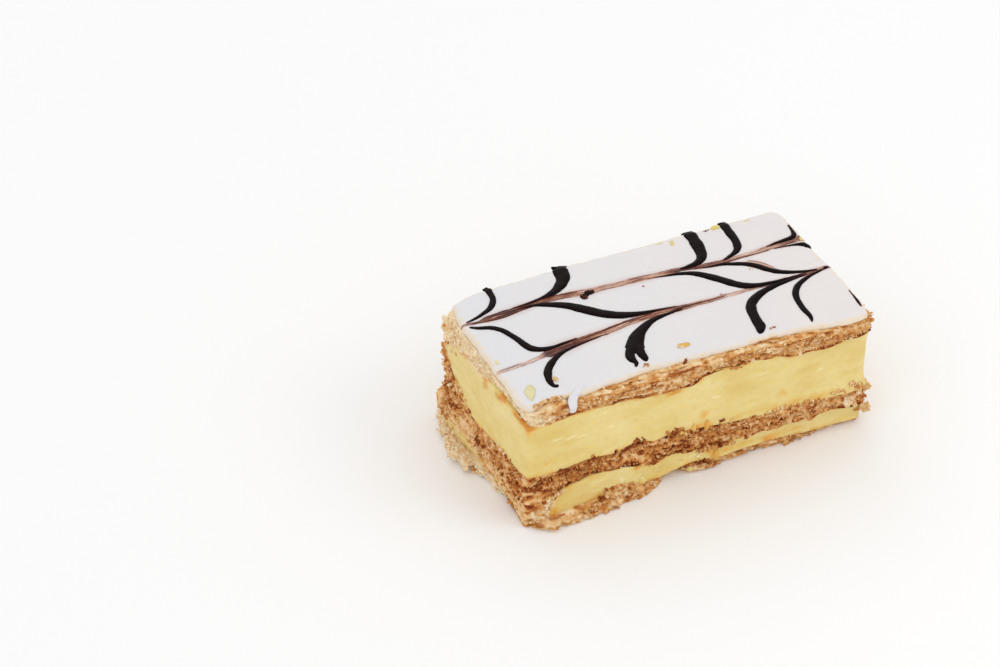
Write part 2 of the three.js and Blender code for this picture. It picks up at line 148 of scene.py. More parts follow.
# %% Spokes round the slice
SPINE_INSET = 7.0                  # distance from the nominal cut face to the spine
SPINE = np.array([LENGTH / 2 - SPINE_INSET, WIDTH / 2 - SPINE_INSET])
MIDDLE = CORNER[:2] + (LENGTH / 2, WIDTH / 2)
ARC = SPINE_INSET * math.pi / 2 * 1.12
AROUND = 4 * (SPINE.sum() + ARC)   # length of one walk round the slice, in millimetres


def spokes(u):
    """Where the spokes at `u` start, and the directions they point in."""
    walk = np.mod(u, 1.0) * AROUND
    start = np.zeros((len(walk), 2))
    angle = np.zeros(len(walk))
    passed = 0.0
    corners = [(-1, -1), (1, -1), (1, 1), (-1, 1)]
    for side, (x, y) in enumerate(corners):
        here, there = np.array((x, y)) * SPINE, np.array(corners[(side + 1) % 4]) * SPINE
        run = np.abs(there - here).sum()
        facing = (side - 1) * math.pi / 2
        straight = (walk >= passed) & (walk <= passed + run)
        part = ((walk - passed) / run)[straight, None]
        start[straight] = here + (there - here) * part
        angle[straight] = facing
        turning = (walk > passed + run) & (walk <= passed + run + ARC)
        start[turning] = there
        angle[turning] = facing + ((walk - passed - run) / ARC)[turning] * math.pi / 2
        passed += run + ARC
    return start + MIDDLE, np.stack([np.cos(angle), np.sin(angle)], axis=1)


print(f"one walk round is {AROUND:.0f} mm")

# %% Measure a layer with rays
STATIONS, HEIGHTS = 480, 15
LOWEST, SPANNED = 0.04, 0.92       # shares of the height: of the lowest row, and of all the rows
ROW_SHARES = LOWEST + SPANNED * np.arange(HEIGHTS) / (HEIGHTS - 1)
PROBE_DEPTH = 5.6                  # how far behind the cut the floor and roof are measured
FAR, BELOW, ABOVE = 40.0, -10.0, 60.0   # where the level rays and the upright ones start


def row_at(share):
    """The row, as a fraction, that lies at a share of a layer's height."""
    return np.clip((share - LOWEST) / SPANNED, 0, 1) * (HEIGHTS - 1)


def beside(u):
    """The stations just before and after each `u`, and how far it lies toward the second."""
    place = np.mod(u, 1.0) * STATIONS
    before = np.floor(place).astype(int) % STATIONS
    return before, (before + 1) % STATIONS, place - np.floor(place)


class Layer:
    """The floor, the roof and the reach of one solid, measured along the spokes."""

    def __init__(self, node):
        merged = bmesh.new()
        merged.from_mesh(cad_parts[node].data)
        bmesh.ops.remove_doubles(merged, verts=merged.verts, dist=0.001 * MM)
        tree = BVHTree.FromBMesh(merged)
        merged.free()
        self.node = node
        self.floors = np.zeros(STATIONS)
        self.roofs = np.zeros(STATIONS)
        self.reaches = np.zeros((STATIONS, HEIGHTS))
        starts, ways = spokes(np.arange(STATIONS) / STATIONS)
        for i, (start, way) in enumerate(zip(starts, ways)):
            x, y = (start + way * (SPINE_INSET - PROBE_DEPTH)) * MM
            self.floors[i] = tree.ray_cast(Vector((x, y, BELOW * MM)), Vector((0, 0, 1)))[0].z / MM
            self.roofs[i] = tree.ray_cast(Vector((x, y, ABOVE * MM)), Vector((0, 0, -1)))[0].z / MM
            far_x, far_y = start + way * FAR
            inward = Vector((-way[0], -way[1], 0))
            for j, z in enumerate(self.floors[i] + (self.roofs[i] - self.floors[i]) * ROW_SHARES):
                distance = tree.ray_cast(Vector((far_x, far_y, z)) * MM, inward)[3] / MM
                self.reaches[i, j] = FAR - distance - SPINE_INSET
        spread = [np.roll(self.reaches, shift, axis=1) for shift in (-1, 0, 1)]
        spread[0][:, -1] = self.reaches[:, -1]
        spread[2][:, 0] = self.reaches[:, 0]
        self.tips = np.max(spread, axis=0)
        self.face = self.reaches.mean(axis=1)

    def along(self, values, u):
        """Values known at the stations, blended to any `u`."""
        before, after, share = beside(u)
        return values[before] * (1 - share) + values[after] * share

    def height(self, u, t):
        return self.along(self.floors, u) * (1 - t) + self.along(self.roofs, u) * t

    def reach(self, u, t, tips=False):
        """How far out the cut edge lies at `u` and at share `t` of the layer's height."""
        table = self.tips if tips else self.reaches
        row = row_at(t)
        low = np.minimum(np.floor(row).astype(int), HEIGHTS - 2)
        part = row - low
        before, after, share = beside(u)
        lower, upper = [table[before, line] * (1 - share) + table[after, line] * share
                        for line in (low, low + 1)]
        return lower * (1 - part) + upper * part


layers = {name: Layer(name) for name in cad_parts}
for name, layer in layers.items():
    print(f"{name}: {layer.floors.mean():.1f} to {layer.roofs.mean():.1f} mm high")

# %% [markdown]
# ## Pastry dragged over the custard
# The knife pushed brown crumb down over the lower custard at the near corner and up over the
# upper custard at the far end of the left side. There the pastry's side is taller than its
# solid and lies outside the custard's face. Places are counted from the near corner: up along
# the front, and down along the left side, past the back left corner at -54.

# %% Pastry dragged over the custard
stations = np.arange(STATIONS) / STATIONS
station_places = spokes(stations)[0] + spokes(stations)[1] * SPINE_INSET - CORNER[:2]
station_x, station_y = station_places.T
from_corner = station_x * np.where(station_y < WIDTH / 2, 1, -1) - station_y
APRON = [(-57, 0.0), (-54, 2.0), (-40, 2.2), (-31, 2.2), (-27, 2.6), (-22, 4.8), (-9, 7.2), (0, 8.8),
         (3, 8.2), (5.5, 5.2), (7.2, 1.6), (9.5, 0.0)]
MIDDLE_ROOF = [(-68, 15.2), (-64.5, 16.6), (-62, 16.4), (-59.5, 18.8), (-57.5, 19.6), (-56, 22.8),
               (-54, 26.5), (-51.6, 24.4), (-47.7, 21.0), (-43.7, 17.9), (-39, 15.4), (-34, 14.2)]
TOP_FLOOR = [(-66, 32.6), (-62.5, 32.0), (-60.5, 30.4), (-57.5, 29.8), (-56, 28.0), (-54, 26.5),
             (-50, 28.0), (-45, 30.0), (-40, 31.4)]
TURNOVER = 0.8                     # height over which an edge leaves its old place for the new


def redrawn(heights, table):
    """Heights at the stations, drawn to those of a table where it has any."""
    places, wanted = np.array(table).T
    share = np.interp(from_corner, [places[0] - 3, places[0], places[-1], places[-1] + 4], [0, 1, 1, 0])
    return heights * (1 - share) + np.interp(from_corner, places, wanted) * share


def stretched(layer, floors, roofs, custard_name, over):
    """Gives a layer a new floor and roof. Past its old ones its edge lies just outside a custard."""
    heights = floors[:, None] + (roofs - floors)[:, None] * ROW_SHARES
    tall = (layer.roofs - layer.floors)[:, None]
    before = (heights - layer.floors[:, None]) / tall
    face = (layers[custard_name].reaches.max(axis=1) + over)[:, None]
    moved = np.abs(floors - layer.floors) + np.abs(roofs - layer.roofs)
    past = np.clip(np.maximum(-before, before - 1) * tall / TURNOVER + 0.8, 0, 1)
    past *= np.clip(moved / TURNOVER, 0, 1)[:, None]
    for name in ("reaches", "tips"):
        table = getattr(layer, name)
        kept = [np.interp(rows, np.arange(HEIGHTS), line) for rows, line in zip(row_at(before), table)]
        setattr(layer, name, np.array(kept) * (1 - past) + face * past)
    layer.floors, layer.roofs = floors, roofs


middle, top = layers["pastry_middle"], layers["pastry_top"]
apron = np.interp(from_corner, *np.array(APRON).T, left=0.0, right=0.0)
apron *= 1 + 0.18 * noise(from_corner / 1.8, 0.5, 0.5, 90)
thinning = np.interp(from_corner, [2, 9], [1.0, 0.35])
stretched(middle, middle.floors - apron, middle.roofs, "custard_lower", thinning)
roofs = redrawn(middle.roofs, MIDDLE_ROOF) + 0.4 * noise(from_corner / 1.6, 0.5, 0.5, 91)
at_back = np.exp(-((from_corner + 54) / 4) ** 2)
stretched(middle, middle.floors, roofs, "custard_upper", 0.6 + 0.5 * at_back)
stretched(top, redrawn(top.floors, TOP_FLOOR), top.roofs, "custard_upper", 0.5 + 0.5 * at_back)
behind = (station_y > 50) | ((station_x > 104) & (station_y > 30))
limit = np.where(behind, layers["icing"].reaches.max(axis=1) + 0.1, 99.0)[:, None]
low_rows = np.arange(HEIGHTS) < 10
limit = np.where(low_rows & (station_x < 8)[:, None], 99.0, limit)
top.reaches, top.tips = np.minimum(top.reaches, limit), np.minimum(top.tips, limit)
print(f"the apron hangs {apron.max():.1f} mm low, the middle pastry rises to {roofs.max():.1f} mm")

# %% [markdown]
# ## Wrapping a grid
# Almost every piece here is a band that runs round the slice. Such a band could be lofted
# from curves, but a flat grid wrapped round the slice is simpler to steer: each grid point
# has two numbers, how far round it is and how far through the band's section, and a function
# turns those into a place. The seam where the grid meets itself is merged.

# %% Wrapping a grid into a band
def grid_numbers(bm):
    """Each vertex of a fresh grid as two numbers from 0 to 1."""
    flat = np.array([vertex.co[:2] for vertex in bm.verts])
    return flat[:, 0] / 2 + 0.5, flat[:, 1] / 2 + 0.5


def settle(bm, points, toasts):
    """Moves the vertices to their points, and notes how toasted each one is."""
    layer = bm.verts.layers.float.new("toast")
    for vertex, point, toast in zip(bm.verts, points, toasts):
        vertex.co = point
        vertex[layer] = toast


def wrapped(around, through, place, closed_section=False):
    """A band mesh: place(u, v) gives x, y, z in millimetres and how toasted each point is."""
    bm = bmesh.new()
    bmesh.ops.create_grid(bm, x_segments=around, y_segments=through, size=1.0)
    settle(bm, *place(*grid_numbers(bm)))
    bmesh.ops.remove_doubles(bm, verts=bm.verts, dist=1e-4)
    if not closed_section:
        rims = [edge for edge in bm.edges if edge.is_boundary]
        bmesh.ops.holes_fill(bm, edges=rims, sides=0)
    bmesh.ops.recalc_face_normals(bm, faces=bm.faces)
    return bm


def piece(name, parts, replaced=None):
    """Joins bmeshes in millimetres into one object that rides on the slice."""
    mesh = bpy.data.meshes.new(name)
    whole = bmesh.new()
    whole.verts.layers.float.new("toast")
    for part in parts:
        part.to_mesh(mesh)
        whole.from_mesh(mesh)
        part.free()
    bmesh.ops.scale(whole, vec=(MM, MM, MM), verts=whole.verts)
    whole.to_mesh(mesh)
    whole.free()
    mesh.polygons.foreach_set("use_smooth", [True] * len(mesh.polygons))
    obj = bpy.data.objects.new(name, mesh)
    bpy.context.scene.collection.objects.link(obj)
    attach(obj, "root")
    if replaced:
        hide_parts(replaced)
    triangles = sum(len(face.vertices) - 2 for face in mesh.polygons)
    print(f"{name}: {triangles} triangles")
    return obj


def noise_round(u):
    """Noise on a circle as long as the walk, so that it has no jump where the walk closes."""
    angle = np.mod(u, 1.0) * 2 * math.pi
    radius = AROUND / (2 * math.pi)
    x, y = np.cos(angle) * radius, np.sin(angle) * radius

    def at(size, z, seed=0, octaves=1):
        """The noise there, with lumps of about `size` millimetres."""
        return rough(x / size, y / size, z, seed, octaves)
    return at


SHRINK_OVER = 20.0                 # depth past the spine at which the slice's middle is reached


def on_ring(u, out, depth=0.0):
    """Points `out` beyond the nominal face, then `depth` back inside, past the spine if deep."""
    start, way = spokes(u)
    radius = SPINE_INSET + out - depth
    shrink = np.clip(1 + radius / SHRINK_OVER, 0, 1)[:, None]
    return MIDDLE + (start - MIDDLE) * shrink + way * np.maximum(radius, 0)[:, None]


# %% [markdown]
# ## Pastry leaves
# Puff pastry bakes into dozens of paper-thin leaves with air between them. A cut crushes and
# chips their edges. One block with a bumpy material would have no real gaps or overhangs, so
# each leaf that shows is a closed ribbon of its own round the slice: its tip is ragged in
# several sizes of noise, bites are broken out of it, and it comes and goes along the cut.

# %% Pastry leaves
def tone_there(node, places):
    """How much paler or browner a layer is here than its average."""
    x = places[:, 0] - CORNER[0]
    # The left side is painted paler in every layer: painted light on that side.
    lit_left_face = np.clip(-x / 0.8, 0, 1)
    if node == "pastry_top":       # pale at the left end: painted light on the left side, and paler still at the front's left end
        return -0.08 * lit_left_face - 0.42 * np.clip(1.3 - x / 8, 0, 1) + 0.04 * np.clip(x / 9 - 2, 0, 1)
    if node == "pastry_middle":    # browner above the near corner, golden where it hangs low, paler on the left side as painted light
        golden = np.clip((10.5 - places[:, 2]) / 3, 0, 1) * np.clip(1.2 - x / 12, 0, 1)
        along = np.interp(x, [0, 3, 6, 50, 70], [0.0, 0.04, 0.06, 0.06, -0.05])
        return along * (1 - lit_left_face) - 0.07 * lit_left_face - 0.17 * golden
    near_corner = 0.1 * np.clip(1 - (x - 1) / 6, 0, 1)
    return (0.06 + near_corner) * (1 - lit_left_face) - 0.36 * lit_left_face


LEAF_POINTS = np.array([            # a leaf's section: depth behind its tip, share of thickness
    (3.4, 0.5), (1.3, 0.5), (0.45, 0.44), (0.06, 0.2), (0.02, -0.18), (0.4, -0.46),
    (1.3, -0.5), (3.4, -0.5), (3.4, 0.5)])


def bites(walk, pitch, seed):
    """How much is broken off: most stretches none, a few a lot, with sharp ends."""
    jitter = noise(walk / 0.9, 0.5, seed) * 0.35
    cell = np.floor(walk / pitch + jitter).astype(np.int64)
    share = lattice(cell, 3, 7, seed) * 0.5 + 0.5
    return np.clip(share - 0.45, 0, 1) ** 1.5 * 2.4


def leaf(layer, t, thick, ragged, toasted, seed, around, set_back=0.0):
    """One leaf at share `t` of the layer's height."""
    def place(u, v):
        step = np.rint(v * (len(LEAF_POINTS) - 1)).astype(int)
        depth, half = LEAF_POINTS[step].T
        walk = np.mod(u, 1.0) * AROUND
        at = noise_round(u)
        edge = 0.5 * at(5, seed) + 0.4 * at(1.7, seed + 0.5) + 0.28 * at(0.7, seed + 0.9)
        broken = bites(walk, 3.1, seed) + 0.5 * bites(walk, 1.1, seed + 50)
        shows = 0.55 * at(9, seed + 30.5)
        out = layer.reach(u, np.full_like(u, min(t, 1.0)), tips=True) - 0.25 - set_back
        out += ragged * (0.7 * edge - broken * 0.7) + shows
        wave = 0.28 * at(7, seed + 3.3) + 0.16 * at(2, seed + 4.1) + 0.07 * at(0.8, depth * 1.5 + seed)
        curl = at(4, seed + 8.2) * np.clip(1.2 - depth, 0, 1) * 0.4
        height = np.maximum(layer.height(u, t) + wave + curl, thick + 0.03)
        swell = thick * (1 + 0.6 * at(1.3, depth + seed))
        places = np.column_stack([on_ring(u, out, depth), height + half * swell])
        tip = np.clip(1 - depth / 0.9, 0, 1)
        toast = toasted + 0.12 * tip + 0.26 * at(3.4, seed + 6.7)
        toast += 0.08 * at(0.9, seed + 1.7) + tone_there(layer.node, places)
        return places, toast
    return wrapped(around, len(LEAF_POINTS) - 1, place, closed_section=True)


# %% [markdown]
# ## Pastry crumb
# Between the leaves lies a porous, crumbly mass: broken leaves pressed together. It is a slab
# just behind the leaves' tips, with its side dented by pores and grains. Grains that stand out
# are painted paler and pores between them browner: painted light and shade on the dents.

# %% Pastry crumb
INNER_DEPTH = 9.0                  # how far in over its floor and roof a band reaches


def cut_side(v, under=0.14, over=0.14):
    """Share of the side's height, and how far in over the floor or roof, for a section."""
    t = np.clip((v - under) / (1 - under - over), 0, 1)
    inward = np.maximum((under - v) / under, (v - 1 + over) / over)
    return t, np.clip(inward, 0, 1) * INNER_DEPTH


def crumb(layer, rows, around, set_back, grain, toasted, seed, over, ragged, patchy):
    """The slab between the leaves: up its side, and in over its floor and roof."""
    def place(u, v):
        t, depth = cut_side(v, 0.1, over)
        at = noise_round(u)
        tall = layer.height(u, 1.0) - layer.height(u, 0.0)
        z = layer.height(u, 0.0) + tall * t
        rim = np.clip(1 - np.minimum(t, 1 - t) * tall / 1.2, 0, 1)
        z = z + rim * np.sign(t - 0.5) * (0.1 + ragged * at(2.4, z / 9, seed + 3, 2))
        grains = at(1.0, z / 0.8, seed, 3)
        lumps = at(3.2, z / 1.5, seed + 5)
        bend = z + 0.35 * at(5, z / 3, seed + 7)
        leaves = at(6, bend / 0.42, seed + 9)
        out = layer.reach(u, t, tips=True) - set_back
        out += grain * (grains + 0.5 * lumps + 0.4 * leaves)
        out -= 0.5 * rim ** 2
        flaked = at(1.3, depth / 0.9 + 40, seed + 2, 3)
        z = z + np.where(t == 1, 0.28 * flaked * np.clip(depth, 0, 1), 0)
        clods = at(1.9, z / 0.9, seed + 8)
        # Painted light and shade on the relief: standing grains and raised roof flakes paler, pores
        # browner.
        toast = toasted - 0.12 * grains + 0.14 * leaves + patchy * np.clip(clods + 0.1, -0.4, 1)
        toast = toast - np.where(t == 1, 0.15 * flaked, 0)
        places = np.column_stack([on_ring(u, out, depth), np.maximum(z, 0.02)])
        return places, toast + tone_there(layer.node, places)
    return wrapped(around, rows, place)


# %% [markdown]
# ## Loose crumbs and flakes
# The knife leaves hundreds of crumbs and shards on the cut. They are two shapes, a lump and
# a thin shard, copied at random sizes and turns. The vertices of all copies are worked out as
# arrays and joined into one piece a kind, since thousands of objects would be slow.

# %% Loose crumbs and flakes
def lump(divisions):
    """Vertices and faces of a small ball."""
    bm = bmesh.new()
    bmesh.ops.create_icosphere(bm, subdivisions=divisions, radius=1.0)
    return template(bm)


def shard():
    """Vertices and faces of a thin plate with an uneven outline."""
    bm = bmesh.new()
    bmesh.ops.create_grid(bm, x_segments=4, y_segments=4, size=1.0)
    for vertex in bm.verts:
        x, y = vertex.co[:2]
        reach = max(abs(x), abs(y))
        vertex.co *= 1 + 0.3 * reach * float(noise(x * 1.7, y * 1.7, 5.0))
    bmesh.ops.solidify(bm, geom=bm.faces, thickness=0.16)
    bmesh.ops.recalc_face_normals(bm, faces=bm.faces)
    return template(bm)


def template(bm):
    bmesh.ops.triangulate(bm, faces=bm.faces)
    bm.verts.index_update()
    points = np.array([vertex.co for vertex in bm.verts])
    faces = np.array([[vertex.index for vertex in face.verts] for face in bm.faces])
    bm.free()
    return points, faces


def turned(rng, count, lying):
    """Random turns: any way for lumps, nearly level for shards."""
    spin = rng.uniform(0, 2 * math.pi, count)
    tilt = rng.normal(0, 0.35, (count, 2)) if lying else rng.uniform(-math.pi, math.pi, (count, 2))
    a, b, c = spin, tilt[:, 0], tilt[:, 1]
    zero, one = np.zeros(count), np.ones(count)
    about_z = np.array([[np.cos(a), -np.sin(a), zero], [np.sin(a), np.cos(a), zero], [zero, zero, one]])
    about_x = np.array([[one, zero, zero], [zero, np.cos(b), -np.sin(b)], [zero, np.sin(b), np.cos(b)]])
    about_y = np.array([[np.cos(c), zero, np.sin(c)], [zero, one, zero], [-np.sin(c), zero, np.cos(c)]])
    return np.einsum("ijn,jkn,kln->nil", about_x, about_y, about_z)


def copies(shape, places, sizes, toasts, rng, lying=False):
    """Copies of a shape as one set of vertices, faces and toasts."""
    points, faces = shape
    count = len(places)
    stretch = sizes[:, None] * rng.uniform(0.65, 1.35, (count, 3))
    bodies = points[None] * stretch[:, None]
    wobble = noise(*(points.T[:, None] * 1.3 + rng.uniform(0, 90, (3, count, 1))))
    bodies = bodies * (1 + 0.4 * wobble[..., None])
    bodies = np.einsum("nij,npj->npi", turned(rng, count, lying), bodies) + places[:, None]
    bodies[..., 2] = np.maximum(bodies[..., 2], 0.01)
    grown = faces[None] + np.arange(count)[:, None, None] * len(points)
    return bodies.reshape(-1, 3), grown.reshape(-1, 3), np.repeat(toasts, len(points))


def joined(groups):
    """One bmesh from several sets of copies."""
    mesh = bpy.data.meshes.new("copies")
    vertices, faces, toasts, start = [], [], [], 0
    for points, corners, values in groups:
        vertices.append(points)
        faces.append(corners + start)
        toasts.append(values)
        start += len(points)
    mesh.from_pydata(np.concatenate(vertices), [], np.concatenate(faces).tolist())
    mesh.attributes.new("toast", "FLOAT", "POINT")
    mesh.attributes["toast"].data.foreach_set("value", np.concatenate(toasts))
    bm = bmesh.new()
    bm.from_mesh(mesh)
    bpy.data.meshes.remove(mesh)
    return bm


def scattered(layer, count, low, high, toasted, rng, low_t, high_t, sink, shape, lying=False):
    """Bits on the cut side of a layer, thicker in some places than in others."""
    u = rng.random(count * 3)
    t = rng.uniform(low_t, high_t, count * 3)
    crowd = noise_round(u)(6, t * 2, 61) * 0.5 + 0.5
    kept = np.flatnonzero(rng.random(count * 3) < crowd)[:count]
    u, t = u[kept], t[kept]
    sizes = low + (high - low) * rng.random(len(u)) ** 2
    out = layer.reach(u, np.clip(t, 0, 1), tips=True) - sink + rng.uniform(-0.25, 0.2, len(u))
    places = np.column_stack([on_ring(u, out), layer.height(u, t)])
    toasts = toasted + rng.normal(0, 0.1, len(u)) + tone_there(layer.node, places)
    return copies(shape, places, sizes, toasts, rng, lying)


LUMP, GRAIN, SHARD = lump(2), lump(1), shard()
print("faces of a lump, a grain and a shard:", [len(faces) for points, faces in (LUMP, GRAIN, SHARD)])

# %% Make the three pastry layers
AROUND_LEAF, AROUND_CRUMB = 1050, 1000
CRUMB_BACK, CRUMB_GRAIN = 0.8, 0.36   # how far the crumb stands back, and how deep its grain is
PASTRIES = {
    # name: leaves as (height share, thickness, raggedness, toasted, set back), crumb toasting,
    # its raggedness and patchiness, its rows and the share of them over its roof, numbers of
    # lumps, grains and shards
    "pastry_top": ([(0.03, 0.26, 0.4, 0.55, -0.1), (0.22, 0.2, 0.9, 0.4, 0.4),
                    (0.38, 0.2, 0.9, 0.36, 0.35), (0.55, 0.2, 0.9, 0.42, 0.35),
                    (0.72, 0.2, 0.9, 0.46, 0.3), (0.94, 0.26, 0.7, 0.46, 0.1),
                    (1.02, 0.26, 1.2, 0.42, 1.3), (1.07, 0.26, 1.3, 0.38, 2.5)],
                   0.34, (0.35, 0.25), (42, 0.34), (500, 1600, 200)),
    "pastry_middle": ([(0.04, 0.3, 0.8, 0.62, 0.0), (0.24, 0.28, 1.0, 0.5, 0.45),
                       (0.46, 0.28, 1.0, 0.58, 0.4), (0.7, 0.28, 1.0, 0.54, 0.45),
                       (0.95, 0.3, 0.9, 0.58, 0.1)],
                      0.44, (0.6, 0.5), (32, 0.12), (1250, 1500, 260)),
    "pastry_bottom": ([(0.07, 0.28, 0.9, 0.36, 0.1), (0.25, 0.3, 1.1, 0.28, 0.2),
                       (0.45, 0.3, 1.1, 0.32, 0.25), (0.65, 0.3, 1.1, 0.34, 0.35),
                       (0.93, 0.3, 0.9, 0.44, 0.4)],
                      0.3, (0.35, 0.25), (32, 0.12), (500, 1400, 420)),
}
pastry_pieces = {}
for seed, (name, row) in enumerate(PASTRIES.items(), 1):
    leaves, crumb_toast, looks, (crumb_rows, over), counts = row
    layer = layers[name]
    rng = np.random.default_rng(seed)
    ribbons = [leaf(layer, t, thick, ragged, toasted, seed * 100 + 7 * i, AROUND_LEAF, back)
               for i, (t, thick, ragged, toasted, back) in enumerate(leaves)]
    pastry_pieces[name + "_leaves"] = piece(name + "_leaves", ribbons, name)
    core = crumb(layer, crumb_rows, AROUND_CRUMB, CRUMB_BACK, CRUMB_GRAIN, crumb_toast,
                 seed * 100 + 77, over, *looks)
    pastry_pieces[name + "_crumb"] = piece(name + "_crumb", [core], name)
    tone = crumb_toast + 0.06
    lumps, grains, shards = counts
    bits = joined([scattered(layer, lumps, 0.3, 0.8, tone, rng, 0.05, 0.95, 0.7, LUMP),
                   scattered(layer, grains, 0.16, 0.36, tone, rng, 0.05, 0.93, 0.5, GRAIN),
                   scattered(layer, shards, 0.5, 1.2, tone + 0.1, rng, 0.1, 0.95, 0.95, SHARD, True)])
    pastry_pieces[name + "_bits"] = piece(name + "_bits", [bits], name)

# %% [markdown]
# ## Custard
# Set custard cuts cleanly, but the knife drags it: long shallow ridges run along the face,
# with a few small pits and torn spots. The face is soft, so the noise stretches a long way
# along the cut and only a little up it.

# %% Custard
TOUCH = 0.35                       # how far a filling reaches into the pastry above and below
STAINS = [                         # x, y, z of a spot, its width and height, how orange it is
    (-1, 41, 31.2, 2.5, 1.2, 0.7), (-1, 37, 32, 2.0, 0.8, 0.6), (-1, 25.5, 30.6, 1.8, 1.8, 1.1),
    (-1, 27, 32.4, 2.5, 0.9, 0.9), (-1, 17.5, 31.6, 2.0, 1.9, 1.25), (-1, 15, 32.6, 3.0, 1.0, 1.1),
    (-1, 8, 32.6, 3.0, 1.1, 1.1), (-0.5, 0.5, 32.4, 2.6, 2.4, 1.6), (-1, 4, 33.0, 3.0, 0.9, 1.2),
    (-1, 34, 24, 1.6, 1.2, 0.4), (-1, 20, 27, 1.0, 0.6, 0.4), (-1, 43, 27.5, 1.5, 1.5, 0.4),
    (6.5, 0, 19.6, 1.7, 0.6, 0.8), (11, 0, 24.5, 3.0, 0.5, 0.3), (23, 0, 28.3, 2.2, 0.8, 0.4),
    (29, 0, 31.9, 0.5, 0.5, 1.2), (44, 0, 30.8, 3.2, 0.6, 0.9), (49, 0, 32.0, 3.0, 0.6, 1.1),
    (53.8, 0, 20.6, 1.6, 1.9, 0.95), (52.5, 0, 17.2, 2.6, 1.0, 1.0), (78.4, 0, 20.0, 1.8, 1.5, 0.85),
    (62, 0, 33.8, 2.4, 0.7, 0.9), (57.5, 0, 6.7, 3.0, 1.5, 1.8), (57.3, 0, 4.8, 0.9, 2.0, 1.4),
    (38, 0, 29.0, 1.8, 0.9, 0.3), (81, 0, 31.5, 2.0, 0.7, 0.5), (97, 0, 31.6, 2.0, 0.7, 0.5),
    (99.5, 0, 16.6, 1.2, 1.2, 0.9), (84, 0, 16.0, 7.0, 1.1, 0.65), (95, 0, 15.3, 6.0, 1.3, 0.65),
    (72, 0, 16.2, 5.0, 1.0, 0.5), (66, 0, 16.6, 4.0, 1.0, 0.4),
    (33, 0, 7.8, 1.0, 2.0, 0.8), (38, 0, 8.4, 2.0, 0.7, 0.8), (66, 0, 4.6, 5.0, 1.1, 0.7),
    (75, 0, 4.9, 6.0, 1.2, 0.45), (84, 0, 4.3, 6.0, 1.0, 0.7), (2.5, 0, 6.5, 1.8, 2.5, 0.9),
    (62, 0, 7.2, 2.4, 0.9, 1.3), (62, 0, 4.6, 2.0, 0.9, 0.6), (8, 0, 4.0, 2.5, 1.5, 0.9)]
PALE_DRAGS_AND_HIGHLIGHTS = [                        # the same for pale marks: knife drags, and painted highlights
    (9.5, 0, 27.2, 1.6, 0.35, 0.8), (13, 0, 26.2, 2.2, 0.4, 0.9), (17, 0, 25.4, 2.0, 0.35, 0.7),
    (15, 0, 22.8, 2.0, 0.35, 0.5), (25, 0, 26.0, 2.5, 0.4, 0.6), (23.5, 0, 31.2, 0.8, 0.4, 0.8),
    (29, 0, 6.2, 0.7, 1.0, 0.9), (21, 0, 8.2, 2.5, 0.5, 0.5), (57.5, 0, 25.5, 1.6, 0.4, 0.8),
    (71, 0, 28.6, 2.6, 0.6, 0.5), (90, 0, 24.6, 2.4, 0.4, 0.6), (97, 0, 19.0, 0.7, 0.7, 0.6),
    (84, 0, 19.5, 2.4, 0.5, 0.4), (-1, 25, 24, 1.8, 0.5, 0.4), (-1, 12, 26, 2.4, 0.5, 0.4)]


def spotted(places, spots, seed):
    """How strongly each place is marked by soft spots with wavering outlines."""
    x, y, z = (places - CORNER).T
    x = x + 0.7 * noise(x / 1.5, y / 1.5, z / 1.5, seed)
    z = z + 0.5 * noise(x / 1.2, y / 1.2, z / 1.2, seed + 1)
    total = np.zeros(len(places))
    for spot_x, spot_y, spot_z, wide, tall, strength in spots:
        off = ((x - spot_x) ** 2 + (y - spot_y) ** 2) / wide ** 2 + (z - spot_z) ** 2 / tall ** 2
        total += strength * np.exp(-off)
    return total


def custard(layer, rows, around, seed, drag=0.1):
    """A custard slab with a dragged cut face."""
    def place(u, v):
        t, depth = cut_side(v)
        at = noise_round(u)
        low, high = layer.height(u, 0.0) - TOUCH, layer.height(u, 1.0) + TOUCH
        z = low + (high - low) * t
        spot = on_ring(u, layer.along(layer.face, u))
        slope = z + 0.2 * spot.sum(axis=1) + 0.4 * at(9, z / 4, seed + 2)
        where = np.clip(0.45 + at(8, z / 5, seed + 1), 0, 1)
        ridges = at(14, slope / 1.3, seed) + 0.6 * at(6, slope / 0.6, seed)
        waves = 0.25 * at(9, z / 6, seed + 9)
        pits = np.clip(at(1.8, z / 1.2, seed + 4) - 0.75, 0, 1) * 1.6
        torn = np.clip(at(3.5, z / 2.5, seed + 5) - 0.55, 0, 1) * at(0.8, z / 0.6, seed + 6)
        out = layer.reach(u, t) + drag * ridges * where + waves - pits + torn
        # Pale marks: knife drags, and painted highlights.
        pale = spotted(np.column_stack([on_ring(u, out), z]), PALE_DRAGS_AND_HIGHLIGHTS, seed + 13)
        places = np.column_stack([on_ring(u, out + 0.25 * pale, depth), z])
        # Near the pastry above and below, the custard is browned: crumb dust, and painted shade under
        # the pastry.
        above, below = (z - low - TOUCH) / 2.8, (high - TOUCH - z) / 1.5
        close = np.clip(1 - np.minimum(above, below), 0, 1)
        crumb_dust_and_shade = close ** 1.5 * np.clip(0.5 + at(2.5, z / 2, seed + 11), 0, 1)
        return places, np.clip(spotted(places, STAINS, 83) + 0.85 * crumb_dust_and_shade, 0, 1.3) - pale
    return wrapped(around, rows, place)


custards = {
    "custard_upper": piece("custard_upper_slab", [custard(layers["custard_upper"], 66, 800, 21)],
                           "custard_upper"),
    "custard_lower": piece("custard_lower_slab", [custard(layers["custard_lower"], 36, 800, 23, 0.14)],
                           "custard_lower"),
}

# %% [markdown]
# ## Icing
# Poured sugar icing levels itself into a thin glossy sheet whose rim rounds over and thins
# out. The band's section here runs from under the rim, round it, and across the top to the
# middle, so that the whole top can swell and dip gently.

# %% Icing
FLOOR_ROWS, RIM_ROWS, TOP_ROWS = 4, 10, 44
AT_SPINE = 0.23                    # share of the top's rows between the rim and the spine
DRIP_X, DRIP_HALF = 13.4, 3.6      # where the drip's stretch of the front edge is, and half of it


